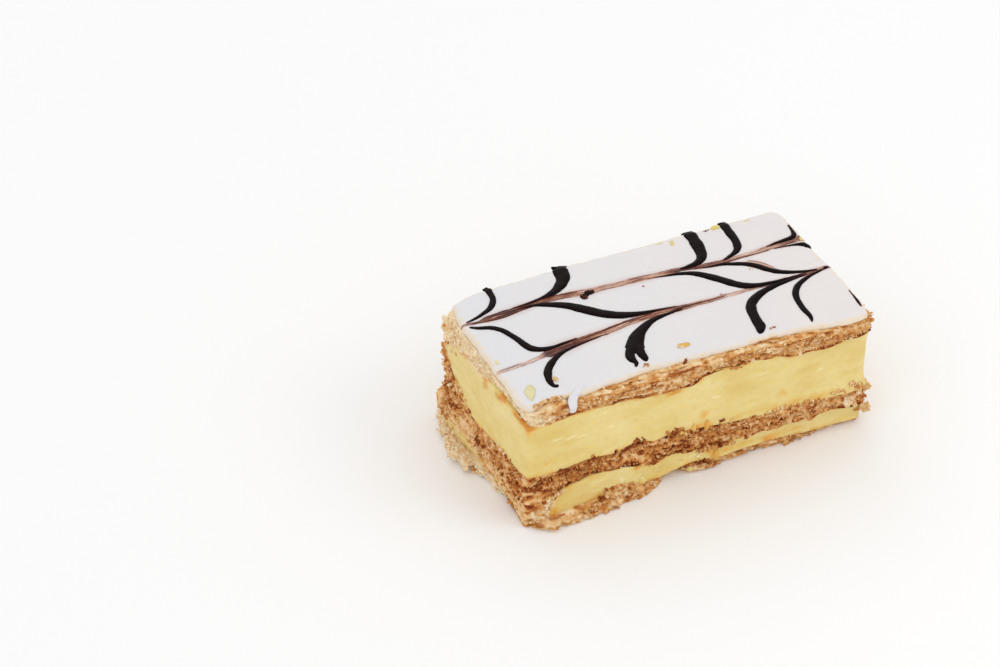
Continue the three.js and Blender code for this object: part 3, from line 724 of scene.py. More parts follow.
def icing_sheet(layer, around, seed):
    """The icing: floor, rounded rim and gently swelling top, its reach taken past the drip."""
    rows = FLOOR_ROWS + RIM_ROWS + TOP_ROWS
    outer = layer.reaches[:, 3:10].max(axis=1)
    at_front = station_y < 1.0
    dripping = at_front & (np.abs(station_x - DRIP_X) < DRIP_HALF)
    outer[dripping] = np.interp(stations[dripping], stations[~dripping], outer[~dripping])
    outer = np.mean([np.roll(outer, shift) for shift in (-1, 0, 1)], axis=0)
    outer += np.where(at_front, 0.8 * np.exp(-((station_x - 19) / 3.5) ** 2), 0)

    def place(u, v):
        row = v * rows
        below = np.clip(1 - row / FLOOR_ROWS, 0, 1)
        rim = np.clip((row - FLOOR_ROWS) / RIM_ROWS, 0, 1)
        inner = np.clip((row - FLOOR_ROWS - RIM_ROWS) / TOP_ROWS, 0, 1)
        at = noise_round(u)
        face = layer.along(outer, u) + 0.3 * at(4, seed) + 0.18 * at(1.2, seed)
        bottom = layer.height(u, 0.0) - 0.1
        soft = 1.3 + 0.5 * at(7, seed + 2)
        angle = rim * math.pi / 2
        depth = soft * (1 - np.cos(angle)) + below * INNER_DEPTH
        to_spine = np.clip(inner ** 1.2 / AT_SPINE, 0, 1)
        past_spine = np.clip((inner ** 1.2 - AT_SPINE) / (1 - AT_SPINE), 0, 1)
        depth += to_spine * (SPINE_INSET + face - soft) + past_spine * SHRINK_OVER
        flat = on_ring(u, face, depth)
        swell = 0.09 * noise(flat[:, 0] / 13, flat[:, 1] / 13, seed + 5)
        swell += 0.03 * noise(flat[:, 0] / 4, flat[:, 1] / 4, seed + 6)
        z = bottom + (ICING_TOP - bottom) * np.sin(angle) ** 0.8 + swell * rim
        fade = 2.5 + 1.6 * np.clip(1 - (flat[:, 0] - CORNER[0]) / 5, 0, 1)
        edge = np.where(below > 0, 1.0, np.clip(1 - depth / fade, 0, 1))
        return np.column_stack([flat, z]), edge
    return wrapped(around, rows, place)


icing = piece("icing_sheet", [icing_sheet(layers["icing"], 760, 31)], "icing")
icing_tree = BVHTree.FromObject(icing, bpy.context.evaluated_depsgraph_get())
RIM_DROP = 1.6                     # how far below the top a stroke may run down the rim


def icing_height(x, y):
    """Height of the icing over a point in slice coordinates, or of its rim next to the point."""
    for pull in (0.0, 0.4, 0.8, 1.2, 1.8, 2.6):
        inside_x = min(max(x, pull), LENGTH - pull)
        inside_y = min(max(y, pull), ICING_BACK - pull)
        over = Vector((inside_x + CORNER[0], inside_y + CORNER[1], ABOVE)) * MM
        hit = icing_tree.ray_cast(over, Vector((0, 0, -1)))[0]
        if hit is not None and hit.z / MM > ICING_TOP - RIM_DROP:
            return hit.z / MM
    return ICING_TOP


# %% [markdown]
# ## Feathered chocolate
# The cook pipes straight lines of chocolate across the wet icing, then draws a knife once to
# the left and once to the right, which drags every line into three sweeping strokes. Each
# stroke is a thin bead: a grid rolled round a path into a low dome, wide where the chocolate
# pooled and thin where the knife pulled it out.

# %% Feathered chocolate
# Each stroke: points x, y along it and the bead's width there, in slice coordinates. A stroke
# named "back" starts with a blunt end, where the slice was cut.
STROKES = {
    "first_back": [
        (13.6, 55.8, 2.4), (13.4, 53.5, 2.0), (13.1, 50.2, 1.8), (11.9, 47.8, 1.9), (10.2, 46.0, 1.8),
        (8.1, 44.9, 1.5), (5.0, 43.6, 1.1), (1.5, 42.7, 0.6)],
    "first_middle": [
        (1.5, 40.6, 0.9), (3.8, 39.1, 1.4), (6.8, 37.9, 1.7), (9.2, 35.5, 1.9), (10.4, 32.8, 1.9),
        (11.5, 29.7, 2.1), (12.2, 26.9, 2.4), (13.2, 24.8, 2.4), (15.4, 23.4, 2.1), (18.5, 23.0, 1.5),
        (22.0, 23.4, 1.0), (26.5, 24.0, 0.4)],
    "first_front": [
        (33.3, 22.1, 0.4), (29.7, 21.7, 0.7), (26.0, 21.1, 0.9), (23.0, 20.6, 1.1), (20.0, 19.8, 1.4),
        (17.6, 18.6, 1.7), (15.2, 16.8, 2.2), (13.2, 14.6, 2.4), (12.0, 12.2, 2.2), (11.4, 9.8, 1.8),
        (11.4, 8.2, 1.5), (12.0, 7.3, 1.3), (12.9, 7.7, 0.8)],
    "second_back": [
        (36.4, 56.3, 4.8), (35.5, 53.2, 4.6), (35.0, 50.8, 4.2), (33.9, 48.9, 3.7), (32.0, 47.0, 3.2),
        (29.4, 45.4, 2.4), (25.5, 44.3, 1.4), (21.3, 43.8, 0.9), (15.8, 43.5, 0.4)],
    "second_middle": [
        (17.0, 42.6, 0.5), (21.9, 42.2, 1.2), (24.9, 41.2, 1.9), (27.9, 39.7, 2.4), (30.6, 37.9, 3.0),
        (32.7, 35.8, 3.4), (35.1, 33.3, 3.6), (37.5, 30.9, 3.5), (40.5, 28.8, 3.3), (43.5, 27.5, 2.7),
        (47.1, 26.6, 1.8), (52.0, 26.0, 1.0), (58.0, 25.2, 0.4)],
    "second_front": [
        (59.0, 23.6, 0.5), (51.9, 23.0, 1.5), (48.3, 22.2, 2.1), (45.3, 20.6, 2.9), (42.4, 18.4, 3.8),
        (40.3, 15.9, 4.7), (38.9, 13.6, 5.3), (38.1, 11.9, 5.3), (37.8, 10.9, 4.6)],
    "second_left_prong": [
        (39.4, 17.0, 0.7), (37.9, 14.5, 1.8), (36.7, 12.2, 2.7), (35.9, 10.4, 2.8), (35.8, 8.8, 2.4),
        (36.1, 7.3, 1.4), (35.2, 5.6, 0.6)],
    "second_right_prong": [
        (41.2, 17.0, 0.7), (40.3, 14.4, 1.8), (39.6, 12.0, 2.6), (39.2, 10.2, 2.7), (39.2, 8.4, 2.2),
        (38.9, 6.6, 1.1)],
    "third_back": [
        (76.7, 55.8, 4.4), (76.6, 52.0, 3.7), (76.3, 49.0, 3.8), (75.8, 46.0, 3.6), (75.1, 43.6, 3.2),
        (73.8, 41.8, 2.7), (71.5, 40.6, 2.1), (68.5, 40.2, 1.4), (66.5, 40.3, 0.8)],
    "third_middle": [
        (57.8, 39.7, 0.4), (62.0, 38.9, 0.9), (65.6, 38.2, 1.4), (68.6, 37.0, 1.9), (71.0, 35.1, 2.5),
        (73.2, 32.7, 2.9), (75.3, 30.0, 3.0), (77.2, 27.6, 3.0), (79.6, 25.5, 2.7), (83.0, 24.3, 1.9),
        (87.3, 23.8, 1.3), (93.0, 23.6, 0.9), (98.0, 23.6, 0.6)],
    "third_front": [
        (98.0, 23.2, 0.5), (92.0, 22.7, 1.2), (87.3, 22.2, 1.7), (83.0, 21.2, 2.3), (79.6, 19.6, 2.8),
        (77.1, 17.6, 3.0), (75.8, 15.2, 3.0), (75.2, 12.8, 3.0), (74.7, 10.0, 3.1), (74.4, 7.6, 3.2),
        (73.4, 5.6, 2.2), (72.6, 4.4, 1.0)],
    "fourth_back": [
        (87.8, 55.9, 2.8), (87.5, 52.0, 2.8), (87.3, 49.0, 2.7), (87.1, 46.0, 2.5), (86.5, 43.6, 2.4),
        (85.5, 41.8, 2.1), (83.8, 40.5, 1.7), (81.3, 39.5, 1.1), (79.5, 39.0, 0.5)],
    "fourth_middle": [
        (70.0, 38.8, 0.4), (74.0, 37.9, 0.8), (78.3, 37.3, 1.3), (81.3, 36.1, 1.6), (84.3, 34.6, 1.9),
        (86.7, 32.4, 2.1), (88.5, 30.0, 2.1), (90.9, 27.6, 2.0), (93.9, 25.9, 1.6), (98.0, 24.5, 1.1),
        (101.5, 23.9, 0.7)],
    "fourth_front": [
        (104.3, 23.6, 0.6), (101.7, 23.0, 0.9), (98.1, 22.1, 1.2), (95.1, 20.9, 1.6), (92.7, 19.4, 1.9),
        (90.9, 17.3, 2.0), (89.8, 14.9, 1.9), (89.3, 12.2, 1.8), (89.0, 9.2, 1.8), (89.1, 6.2, 1.6),
        (88.8, 4.6, 1.1), (88.3, 3.2, 0.5)],
    "fifth_back": [
        (104.4, 46.4, 0.6), (104.1, 43.5, 1.0), (103.6, 41.4, 1.5), (102.2, 40.3, 1.7),
        (99.5, 40.0, 1.4), (96.5, 39.8, 1.0), (93.5, 39.4, 0.4)],
    "fifth_middle": [
        (95.0, 37.6, 0.3), (98.5, 37.3, 0.6), (101.5, 36.8, 1.1), (103.6, 36.0, 1.9),
        (104.5, 35.0, 2.2), (104.7, 33.6, 1.3)],
    "fifth_front": [(104.8, 12.0, 0.4), (104.7, 9.5, 0.6), (104.4, 6.0, 0.9), (104.1, 3.6, 0.5)],
    "knife_knob": [(103.2, 23.6, 0.8), (104.2, 23.7, 1.4), (104.9, 23.9, 0.9)],
    "back_hairline": [(3.0, 41.6, 0.2), (7.0, 40.9, 0.4), (12.0, 40.7, 0.5), (17.0, 41.4, 0.4)],
    "middle_hairline": [(23.0, 43.6, 0.3), (30.0, 43.7, 0.4), (36.0, 42.6, 0.25)],
    "front_hairline": [(24.0, 22.6, 0.2), (31.0, 23.4, 0.4), (40.0, 24.6, 0.35), (50.0, 25.3, 0.3)],
    "right_hairline": [(56.0, 24.4, 0.3), (64.0, 24.0, 0.5), (72.0, 23.7, 0.3)],
    "last_hairline": [(77.0, 38.0, 0.2), (85.0, 37.7, 0.35), (94.0, 37.6, 0.25)],
}

# %% Rolling a bead
BEAD_RISE = 0.4                    # greatest height of a bead above the icing
BEAD_SIDES, BEAD_STEPS = 12, 10    # round a bead, and from one point of its path to the next


def smooth_path(points, steps):
    """A Catmull-Rom curve through the points, `steps` samples to a stretch."""
    points = np.array(points, float)
    ends = np.vstack([2 * points[0] - points[1], points, 2 * points[-1] - points[-2]])
    rows = []
    for i in range(1, len(ends) - 2):
        p0, p1, p2, p3 = ends[i - 1:i + 3]
        for t in np.arange(steps) / steps:
            rows.append(0.5 * (2 * p1 + (p2 - p0) * t + (2 * p0 - 5 * p1 + 4 * p2 - p3) * t ** 2
                               + (3 * p1 - p0 - 3 * p2 + p3) * t ** 3))
    rows.append(points[-1])
    return np.array(rows)


def paced(points):
    """The unit direction of a path at each of its points, and how far along it they lie."""
    ways = np.gradient(points, axis=0)
    steps = np.linalg.norm(np.diff(points, axis=0), axis=1)
    return ways / np.linalg.norm(ways, axis=1, keepdims=True), np.concatenate([[0], np.cumsum(steps)])


def rounded(walked, i, run_out):
    """1 along a path, and falling to 0 over `run_out` at its closed ends."""
    full = np.sqrt(np.clip(np.minimum(walked[i], walked[-1] - walked[i]) / run_out, 0, 1))
    return np.where((i == 0) | (i == len(walked) - 1), 0.0, full)


def bead(path, rise, seed, blunt):
    """A low dome rolled along a path, its ends closed and rounded, or its start cut off."""
    count = len(path) - 1
    ways, walked = paced(path[:, :2])

    def place(u, v):
        i = np.rint(u * count).astype(int)
        angle = v * 2 * math.pi
        width = path[i, 2] * (1 + 0.07 * noise(walked[i] / 1.6, 0.5, seed))
        full = rounded(walked, i, np.where(blunt & (walked[i] < 1.0), 0.12, 0.5 * width))
        half = 0.5 * width * full
        side = np.sign(np.cos(angle)) * np.abs(np.cos(angle)) ** 0.85 * half
        lift = np.where(np.sin(angle) > 0, np.sin(angle) * rise * np.clip(width / 2.2, 0.45, 1.1),
                        np.sin(angle) * 0.25) * full
        x = path[i, 0] - ways[i, 1] * side
        y = path[i, 1] + ways[i, 0] * side
        ground = np.array([icing_height(a, b) for a, b in zip(x, y)])
        wavy = 1 + 0.12 * noise(x / 1.3, y / 1.3, seed)
        z = ground + lift * wavy
        return np.column_stack([x + CORNER[0], y + CORNER[1], z]), np.clip(1.3 - width, 0, 1)
    return wrapped(count, BEAD_SIDES, place, closed_section=True)


beads = [bead(smooth_path(points, BEAD_STEPS), BEAD_RISE, 41 + i, name.endswith("back"))
         for i, (name, points) in enumerate(STROKES.items())]
chocolate = piece("chocolate_strokes", beads)

# %% [markdown]
# ## Things that landed on the slice
# Some crumbs are worth placing one by one: they sit where the knife pushed them, along the edges
# of the pastry and on the icing. Each is named by the point where a line of sight to it passes
# a flat laid on the front, the left or the top, and the line then finds the real surface.

# %% Crumbs placed by sight
def surface(pieces):
    """One ray-casting tree over several pieces."""
    whole = bmesh.new()
    for obj in pieces:
        whole.from_mesh(obj.data)
    tree = BVHTree.FromBMesh(whole)
    whole.free()
    return tree


everything = surface([*pastry_pieces.values(), *custards.values(), icing, chocolate])
FRONT_FLAT, LEFT_FLAT = -0.8, -1.2   # where the flats on the front and the left lie


def landed(face, a, b):
    """Where the line of sight through a point of a flat meets the slice, in millimetres."""
    through = {"front": (a, FRONT_FLAT, b), "left": (LEFT_FLAT, a, b), "top": (a, b, ICING_TOP)}[face]
    way = Vector(through) + Vector(CORNER) - stand / MM
    hit = everything.ray_cast(stand, way.normalized())[0]
    return None if hit is None or hit.z < 0.1 * MM else np.array(hit) / MM


print("the top's middle is seen at", landed("top", LENGTH / 2, WIDTH / 2).round(1), "mm")

# %% Heaps of crumbs
HEAPS = {                          # place on the flat, spread, number, smallest, largest, toasted
    "front": [
        (12.0, 16.0, 1.6, 0.6, 30, 0.25, 0.7, 0.8), (14.6, 16.0, 0.5, 0.6, 9, 0.3, 0.6, 0.85),
        (19.5, 18.2, 0.5, 0.6, 5, 0.25, 0.5, 0.85), (21.5, 16.8, 2.2, 0.6, 22, 0.2, 0.6, 0.7),
        (27.0, 17.2, 0.9, 0.5, 8, 0.25, 0.55, 0.8), (32.2, 18.6, 1.0, 0.6, 16, 0.25, 0.6, 0.85),
        (34.8, 18.2, 0.4, 0.8, 9, 0.25, 0.6, 0.8), (43.4, 17.6, 1.4, 0.8, 40, 0.3, 0.75, 0.78),
        (46.0, 18.2, 0.8, 0.7, 16, 0.3, 0.6, 0.75), (47.6, 16.6, 1.8, 0.5, 24, 0.25, 0.6, 0.62),
        (53.0, 15.6, 3.0, 0.5, 30, 0.2, 0.6, 0.6), (59.6, 17.1, 0.7, 0.4, 10, 0.3, 0.5, 0.8),
        (62.2, 16.3, 0.6, 0.5, 8, 0.25, 0.5, 0.42), (73.0, 15.0, 0.3, 0.3, 2, 0.2, 0.35, 0.8),
        (66.0, 14.6, 4.5, 0.5, 34, 0.2, 0.55, 0.6), (79.0, 15.3, 3.0, 0.6, 26, 0.2, 0.55, 0.5),
        (86.5, 14.6, 4.0, 0.5, 26, 0.2, 0.55, 0.55), (100.2, 16.2, 0.8, 0.6, 12, 0.3, 0.65, 0.38),
        (96.0, 14.8, 2.5, 0.5, 16, 0.2, 0.5, 0.45), (5.0, 15.4, 2.6, 0.5, 26, 0.25, 0.6, 0.7),
        (1.5, 13.2, 2.6, 0.7, 40, 0.3, 0.7, 0.84), (39.8, 11.2, 0.7, 0.8, 14, 0.3, 0.6, 0.84),
        (6.5, 6.2, 1.2, 1.1, 50, 0.25, 0.6, 0.36), (9.0, 8.6, 1.4, 0.6, 30, 0.2, 0.5, 0.42),
        (5.2, 3.6, 1.0, 1.0, 34, 0.25, 0.65, 0.34), (3.0, 3.0, 1.6, 1.6, 60, 0.3, 0.8, 0.42),
        (27.0, 4.4, 2.2, 0.5, 24, 0.3, 0.7, 0.55), (23.6, 4.6, 1.0, 0.4, 10, 0.3, 0.6, 0.6),
        (31.6, 4.0, 1.2, 0.5, 14, 0.3, 0.6, 0.5), (38.0, 2.6, 1.6, 0.6, 20, 0.25, 0.6, 0.4),
        (64.6, 35.6, 1.4, 0.5, 20, 0.25, 0.6, 0.85), (62.6, 34.3, 1.2, 0.4, 14, 0.25, 0.55, 0.62),
        (46.8, 41.8, 0.45, 0.8, 8, 0.25, 0.45, 1.0), (37.4, 36.8, 0.8, 0.4, 8, 0.2, 0.45, 0.8),
        # The two dark heaps at 51.0 and 54.6 fill a hollow in the front: brown crumb, and painted shade
        # in the hollow.
        (51.0, 4.6, 1.6, 0.7, 30, 0.25, 0.6, 0.8), (54.6, 4.6, 1.2, 0.5, 16, 0.25, 0.5, 0.9),
        (54.0, 8.6, 2.4, 0.4, 22, 0.25, 0.55, 0.6), (62.0, 7.9, 2.8, 0.4, 20, 0.25, 0.5, 0.55),
        (57.5, 8.8, 3.0, 0.5, 44, 0.3, 0.65, 0.72), (27.4, 3.4, 2.9, 0.9, 130, 0.4, 0.9, 0.52),
        (22.6, 2.0, 1.2, 0.6, 24, 0.3, 0.6, 0.78), (99.6, 10.9, 1.0, 0.9, 34, 0.5, 1.0, 0.3),
        (102.6, 14.2, 0.9, 0.9, 30, 0.35, 0.8, 0.42)],
    "left": [
        (10.0, 16.6, 5.0, 0.7, 50, 0.25, 0.6, 0.6), (43.0, 17.6, 3.5, 1.0, 70, 0.25, 0.7, 0.5),
        (36.0, 14.8, 2.0, 0.6, 20, 0.25, 0.5, 0.6), (30.0, 4.0, 2.2, 1.0, 50, 0.25, 0.7, 0.4),
        (5.0, 10.0, 6.0, 2.0, 60, 0.3, 0.7, 0.75), (29.0, 8.4, 1.2, 0.9, 20, 0.3, 0.6, 0.85),
        (47.5, 9.0, 1.6, 0.8, 24, 0.3, 0.6, 0.8), (19.0, 9.0, 3.0, 1.5, 40, 0.3, 0.6, 0.66),
        (48.0, 14.0, 3.4, 2.4, 90, 0.3, 0.8, 0.7), (46.0, -4.0, 6.0, 2.8, 190, 0.25, 0.65, 0.22),
        (36.0, -3.0, 5.0, 2.0, 110, 0.25, 0.65, 0.24), (52.0, -7.0, 3.0, 2.4, 80, 0.25, 0.6, 0.22),
        (52.0, 3.0, 2.5, 2.0, 60, 0.3, 0.7, 0.5), (47.0, 33.0, 3.5, 2.4, 60, 0.3, 0.7, 0.3)],
    "top": [
        (36.6, 39.9, 0.9, 0.6, 18, 0.3, 0.7, 1.3), (38.6, 41.0, 0.7, 0.5, 16, 0.3, 0.7, 1.3),
        (13.1, 10.2, 0.5, 0.7, 12, 0.3, 0.55, 0.36), (38.4, 5.2, 0.9, 0.5, 14, 0.15, 0.35, 0.7),
        (77.0, 5.6, 1.1, 0.5, 9, 0.12, 0.26, 0.8), (50.2, 8.6, 0.6, 0.5, 14, 0.25, 0.5, 0.36),
        (53.4, 37.4, 0.3, 0.2, 2, 0.2, 0.35, 0.6), (81.6, 53.6, 0.6, 0.3, 5, 0.15, 0.3, 1.1),
        (84.5, 32.0, 0.6, 0.5, 8, 0.12, 0.22, 0.5), (71.5, 25.0, 0.3, 0.3, 3, 0.12, 0.25, 1.1),
        (5.5, 1.9, 2.0, 0.5, 50, 0.25, 0.6, 0.45), (9.5, 2.2, 2.2, 0.5, 60, 0.25, 0.6, 0.5)],
}
rng = np.random.default_rng(17)
heaps = []
for face, rows in HEAPS.items():
    for a, b, wide, tall, number, low, high, toasted in rows:
        spots = [landed(face, a + rng.normal(0, wide / 1.6), b + rng.normal(0, tall / 1.6))
                 for _ in range(number)]
        spots = np.array([spot for spot in spots if spot is not None])
        sizes = low + (high - low) * rng.random(len(spots)) ** 1.5
        toasts = np.minimum(toasted + rng.normal(0, 0.14, len(spots)), max(toasted, 0.95))
        heaps.append(copies(LUMP, spots, sizes, toasts, rng))
TIPS = [                           # shards at the right end: x, y, z, number, size, toasted
    (105.3, 0.5, 5.2, 6, 1.3, 0.42), (105.5, 0.5, 13.2, 4, 1.0, 0.45)]
for x, y, z, number, size, toasted in TIPS:
    spots = CORNER + (x, y, z) + rng.normal(0, 0.45, (number, 3))
    heaps.append(copies(SHARD, spots, np.full(number, size), np.full(number, toasted), rng, lying=True))
landed_crumbs = piece("crumbs_landed", [joined(heaps)])

# %% Smears of custard
SMEARS = [                         # face, place, size along, across and out, turn, how orange
    ("top", (4.6, 7.8), (3.2, 1.4, 0.12), 66, -0.6), ("top", (1.9, 23.3), (1.1, 0.5, 0.15), 70, -0.6),
    ("top", (70.2, 52.3), (1.2, 0.7, 0.2), 80, -0.3), ("top", (84.6, 53.6), (1.6, 1.1, 0.4), 10, -0.2),
    ("top", (67.0, 53.6), (0.9, 0.4, 0.15), 0, -0.5), ("top", (94.6, 53.0), (1.0, 0.3, 0.12), 0, -0.5),
    ("top", (51.3, 8.7), (1.7, 0.9, 0.45), -8, 0.9), ("top", (104.3, 38.6), (0.9, 0.4, 0.4), 80, 0.0),
    ("front", (50.4, 17.6), (0.7, 0.55, 1.4), 0, 0.8), ("front", (54.3, 17.2), (0.75, 0.6, 1.6), 0, 1.0),
    ("front", (46.4, 17.6), (0.8, 0.45, 0.7), 0, 0.8), ("front", (56.6, 8.0), (2.3, 0.35, 0.8), 0, 1.0),
    ("front", (61.6, 8.0), (1.6, 0.3, 0.45), 0, 0.8),
    # The pale smear at 52.0, 7.0 on the front is a painted highlight: pale custard for glints in the
    # notch.
    ("front", (52.0, 7.0), (0.8, 0.5, 0.6), 0, -0.5), ("front", (35.0, 4.0), (1.2, 0.7, 1.8), 0, -0.2),
    ("front", (57.6, 5.6), (1.0, 0.6, 1.9), 0, 0.9), ("front", (49.6, 3.4), (0.9, 0.6, 0.8), 0, -0.2),
    ("front", (62.4, 16.2), (0.5, 0.4, 0.6), 0, 0.8),
    ("left", (3.0, 36.6), (0.2, 2.0, 0.5), 0, 1.0), ("left", (17.2, 33.2), (0.2, 1.0, 0.8), 0, 0.75),
    ("left", (25.5, 30.6), (0.2, 0.8, 1.0), 0, 0.65)]


def blob(place, size, degrees, orange, seed):
    """A flattened ball with an uneven outline."""
    bm = bmesh.new()
    bmesh.ops.create_icosphere(bm, subdivisions=4, radius=1.0)
    points = np.array([vertex.co for vertex in bm.verts])
    grown = points * (1 + 0.35 * rough(*(points.T * 1.5), seed, 2))[:, None] * size
    turn = np.array(Matrix.Rotation(math.radians(degrees), 3, "Z"))
    settle(bm, grown @ turn.T + place, np.full(len(points), orange))
    return bm


blobs = [blob(landed(face, *place), size, degrees, orange, 70 + i)
         for i, (face, place, size, degrees, orange) in enumerate(SMEARS)]
smears = piece("custard_smears", blobs)

# %% [markdown]
# ## The icing's drip
# One run of icing came over the front edge and hangs down the top pastry. It is a flattened
# tube along a short path, wide where it leaves the sheet and rounded off at its low end.

# %% The icing's drip
# Points x, y, z along it and its width there.
DRIP = [(19.1, 4.8, 38.75, 3.6), (16.75, 3.4, 38.9, 4.0), (14.8, 1.8, 38.75, 3.3),
        (13.8, 0.6, 38.35, 2.9), (13.5, -0.1, 37.9, 2.7), (13.5, -0.3, 37.2, 2.5),
        (13.6, -0.1, 36.3, 2.2), (13.7, 0.15, 35.3, 1.9), (13.8, 0.4, 34.4, 1.3)]
DRIP_THICK, DRIP_SIDES = 1.0, 16


def run_of_icing(points, thick):
    """A flattened tube whose section stays level across and turns down with the path."""
    path = smooth_path(points, 8)
    count = len(path) - 1
    ways, walked = paced(path[:, :3])
    level = np.cross(ways, (-1.0, 0.0, 0.0))
    level /= np.linalg.norm(level, axis=1, keepdims=True)

    def place(u, v):
        i = np.rint(u * count).astype(int)
        angle = v * 2 * math.pi
        full = rounded(walked, i, 0.8)
        uneven = 1 + 0.12 * noise(walked[i] / 1.5, np.cos(angle), np.sin(angle), 5)
        sideways = np.cos(angle) * 0.5 * path[i, 3] * full * uneven
        outward = np.sin(angle) * 0.5 * thick * full * uneven
        spot = path[i, :3] + outward[:, None] * level[i]
        spot[:, 0] += sideways
        return spot + CORNER, np.full(len(u), 0.12)
    return wrapped(count, DRIP_SIDES, place, closed_section=True)


drip = piece("icing_drip", [run_of_icing(DRIP, DRIP_THICK)], "icing")

# %% [markdown]
# ## Shader helper
# Materials here are arithmetic on patterns, and arithmetic reads best as arithmetic. A small
# class wraps a socket so that + - * / add Math nodes. Everything else is made by one method
# that takes a node's type, its settings and the values or links of its sockets.

# %% Shader helper
class Wire:
    """A shader output that can be used in sums like a number."""

    def __init__(self, finish, socket):
        self.finish, self.socket = finish, socket

    def math(self, operation, *others):
        values = dict(enumerate([self, *others]))
        return self.finish.node("ShaderNodeMath", {"operation": operation}, values)

    def __add__(self, other):
        return self.math("ADD", other)

    def __sub__(self, other):
        return self.math("SUBTRACT", other)

    def __rsub__(self, other):
        return self.finish.node("ShaderNodeMath", {"operation": "SUBTRACT"}, {0: other, 1: self})

    def __mul__(self, other):
        return self.math("MULTIPLY", other)

    def __truediv__(self, other):
        return self.math("DIVIDE", other)

    __radd__, __rmul__ = __add__, __mul__

    def clamp(self):
        return self.finish.node("ShaderNodeClamp", {}, {"Value": self})

    def between(self, low, high):
        """0 below low, 1 above high, smooth between."""
        values = {"Value": self, "From Min": low, "From Max": high}
        return self.finish.node("ShaderNodeMapRange", {"interpolation_type": "SMOOTHSTEP"}, values)


# %% A finish made of nodes
class Finish:
    """A material made of nodes."""

    def __init__(self, name):
        self.material = bpy.data.materials.new(name)
        self.material.use_nodes = True
        self.tree = self.material.node_tree
        self.shader = self.tree.nodes["Principled BSDF"]

    def node(self, kind, settings, values, output=0):
        made = self.tree.nodes.new(kind)
        for key, value in settings.items():
            if key == "stops":
                self.stops(made.color_ramp, value)
            elif key == "curve":
                self.curve(made.mapping, value)
            else:
                setattr(made, key, value)
        for key, value in values.items():
            self.feed(made.inputs[key], value)
        return Wire(self, made.outputs[output])

    def feed(self, socket, value):
        if isinstance(value, Wire):
            self.tree.links.new(value.socket, socket)
        else:
            socket.default_value = value

    def stops(self, ramp, stops):
        while len(ramp.elements) < len(stops):
            ramp.elements.new(0.5)
        for element, (place, colour) in zip(ramp.elements, stops):
            element.position = place
            element.color = colour

    def curve(self, mapping, points):
        line = mapping.curves[0].points
        while len(line) < len(points):
            line.new(0.5, 0.5)
        for point, place in zip(line, points):
            point.location = place
        mapping.update()

    def set(self, **values):
        for key, value in values.items():
            self.feed(self.shader.inputs[key.replace("_", " ")], value)

    def place(self):
        return self.node("ShaderNodeTexCoord", {}, {}, "Object")

    def spread(self, size, detail=2.0, stretch=(1, 1, 1), roughness=0.5, shift=0.0):
        """Noise from 0 to 1 whose blotches are about `size` millimetres across."""
        scale = tuple(s / (size * MM) for s in stretch)
        mapped = self.node("ShaderNodeMapping", {},
                           {"Vector": self.place(), "Scale": scale, "Location": (shift, 0, 0)})
        return self.noise(mapped, detail, roughness)

    def noise(self, vector, detail, roughness):
        values = {"Vector": vector, "Scale": 1.0, "Detail": detail, "Roughness": roughness}
        return self.node("ShaderNodeTexNoise", {}, values)

    def uneven(self, size, strength, **pattern):
        """Noise around 0, to add to a number."""
        return (self.spread(size, **pattern) - 0.5) * strength

    def attribute(self, name):
        return self.node("ShaderNodeAttribute", {"attribute_name": name}, {}, "Fac")

    def ramp(self, factor, colours):
        """The colour at a place from 0 to 1, blended from colours given at some places."""
        stops = [(place, paint(*colour)) for place, colour in colours.items()]
        return self.node("ShaderNodeValToRGB", {"stops": stops}, {"Fac": factor}, "Color")

    def mix(self, factor, first, second):
        return self.node("ShaderNodeMix", {"data_type": "RGBA"},
                         {0: factor, 6: first, 7: second}, 2)

    def bump(self, height, strength, depth):
        return self.node("ShaderNodeBump", {}, {"Height": height, "Strength": strength,
                                                "Distance": depth * MM}, "Normal")


def paint(r, g, b):
    """A colour picked as screen values from 0 to 255, as the light that it stands for."""
    def light(value):
        value /= 255
        return value / 12.92 if value <= 0.04045 else ((value + 0.055) / 1.055) ** 2.4
    return (light(r), light(g), light(b), 1.0)


def coat(material, *objects):
    """Gives a finish to some pieces."""
    for obj in objects:
        obj.data.materials.append(material)
        print(f"{obj.name}: {material.name}, {len(material.node_tree.nodes)} nodes")


# %% [markdown]
# ## Baked pastry finish
# Butter pastry goes from cream inside, through straw and gold, to brown where it caught the
# heat, in specks no larger than a crumb. Each piece carries a number, `toast`, and the finish
# adds fine noise to it and looks the colour up on one ramp, so that all three layers agree.

# %% Baked pastry finish
DARKEST = 1.3                      # the toast at which a crumb is nearly black
BAKED = {0.0: (250, 234, 206), 0.25: (244, 216, 174), 0.45: (230, 182, 122), 0.62: (210, 144, 78),
         0.8: (164, 88, 40), 1.0: (100, 40, 18), DARKEST: (34, 20, 18)}


def baked(name, shift, contrast, palest):
    finish = Finish(name)
    tone = finish.attribute("toast")
    fine = finish.spread(1.0, detail=3.0, roughness=0.55)
    wide = finish.uneven(3.0, 0.4, detail=1.0)
    lines = finish.uneven(1.2, 0.4, detail=2.0, stretch=(0.25, 0.25, 2.2), shift=3.0)
    specks = finish.spread(0.6, detail=1.0, shift=7.0).between(0.64, 0.72)
    tone = tone + shift + (fine - 0.5) * contrast + wide + lines
    tone = (tone + specks * 0.15).math("SMOOTH_MAX", palest, 0.25)
    colours = {toast / DARKEST: colour for toast, colour in BAKED.items()}
    finish.set(Base_Color=finish.ramp((tone / DARKEST).clamp(), colours), Roughness=0.62)
    finish.set(Specular_IOR_Level=0.15)
    finish.set(Subsurface_Weight=0.15, Subsurface_Scale=0.0015, Subsurface_Radius=(1.0, 0.5, 0.2))
    finish.set(Normal=finish.bump(fine, 0.5, 0.3), IOR=1.4)
    return finish.material


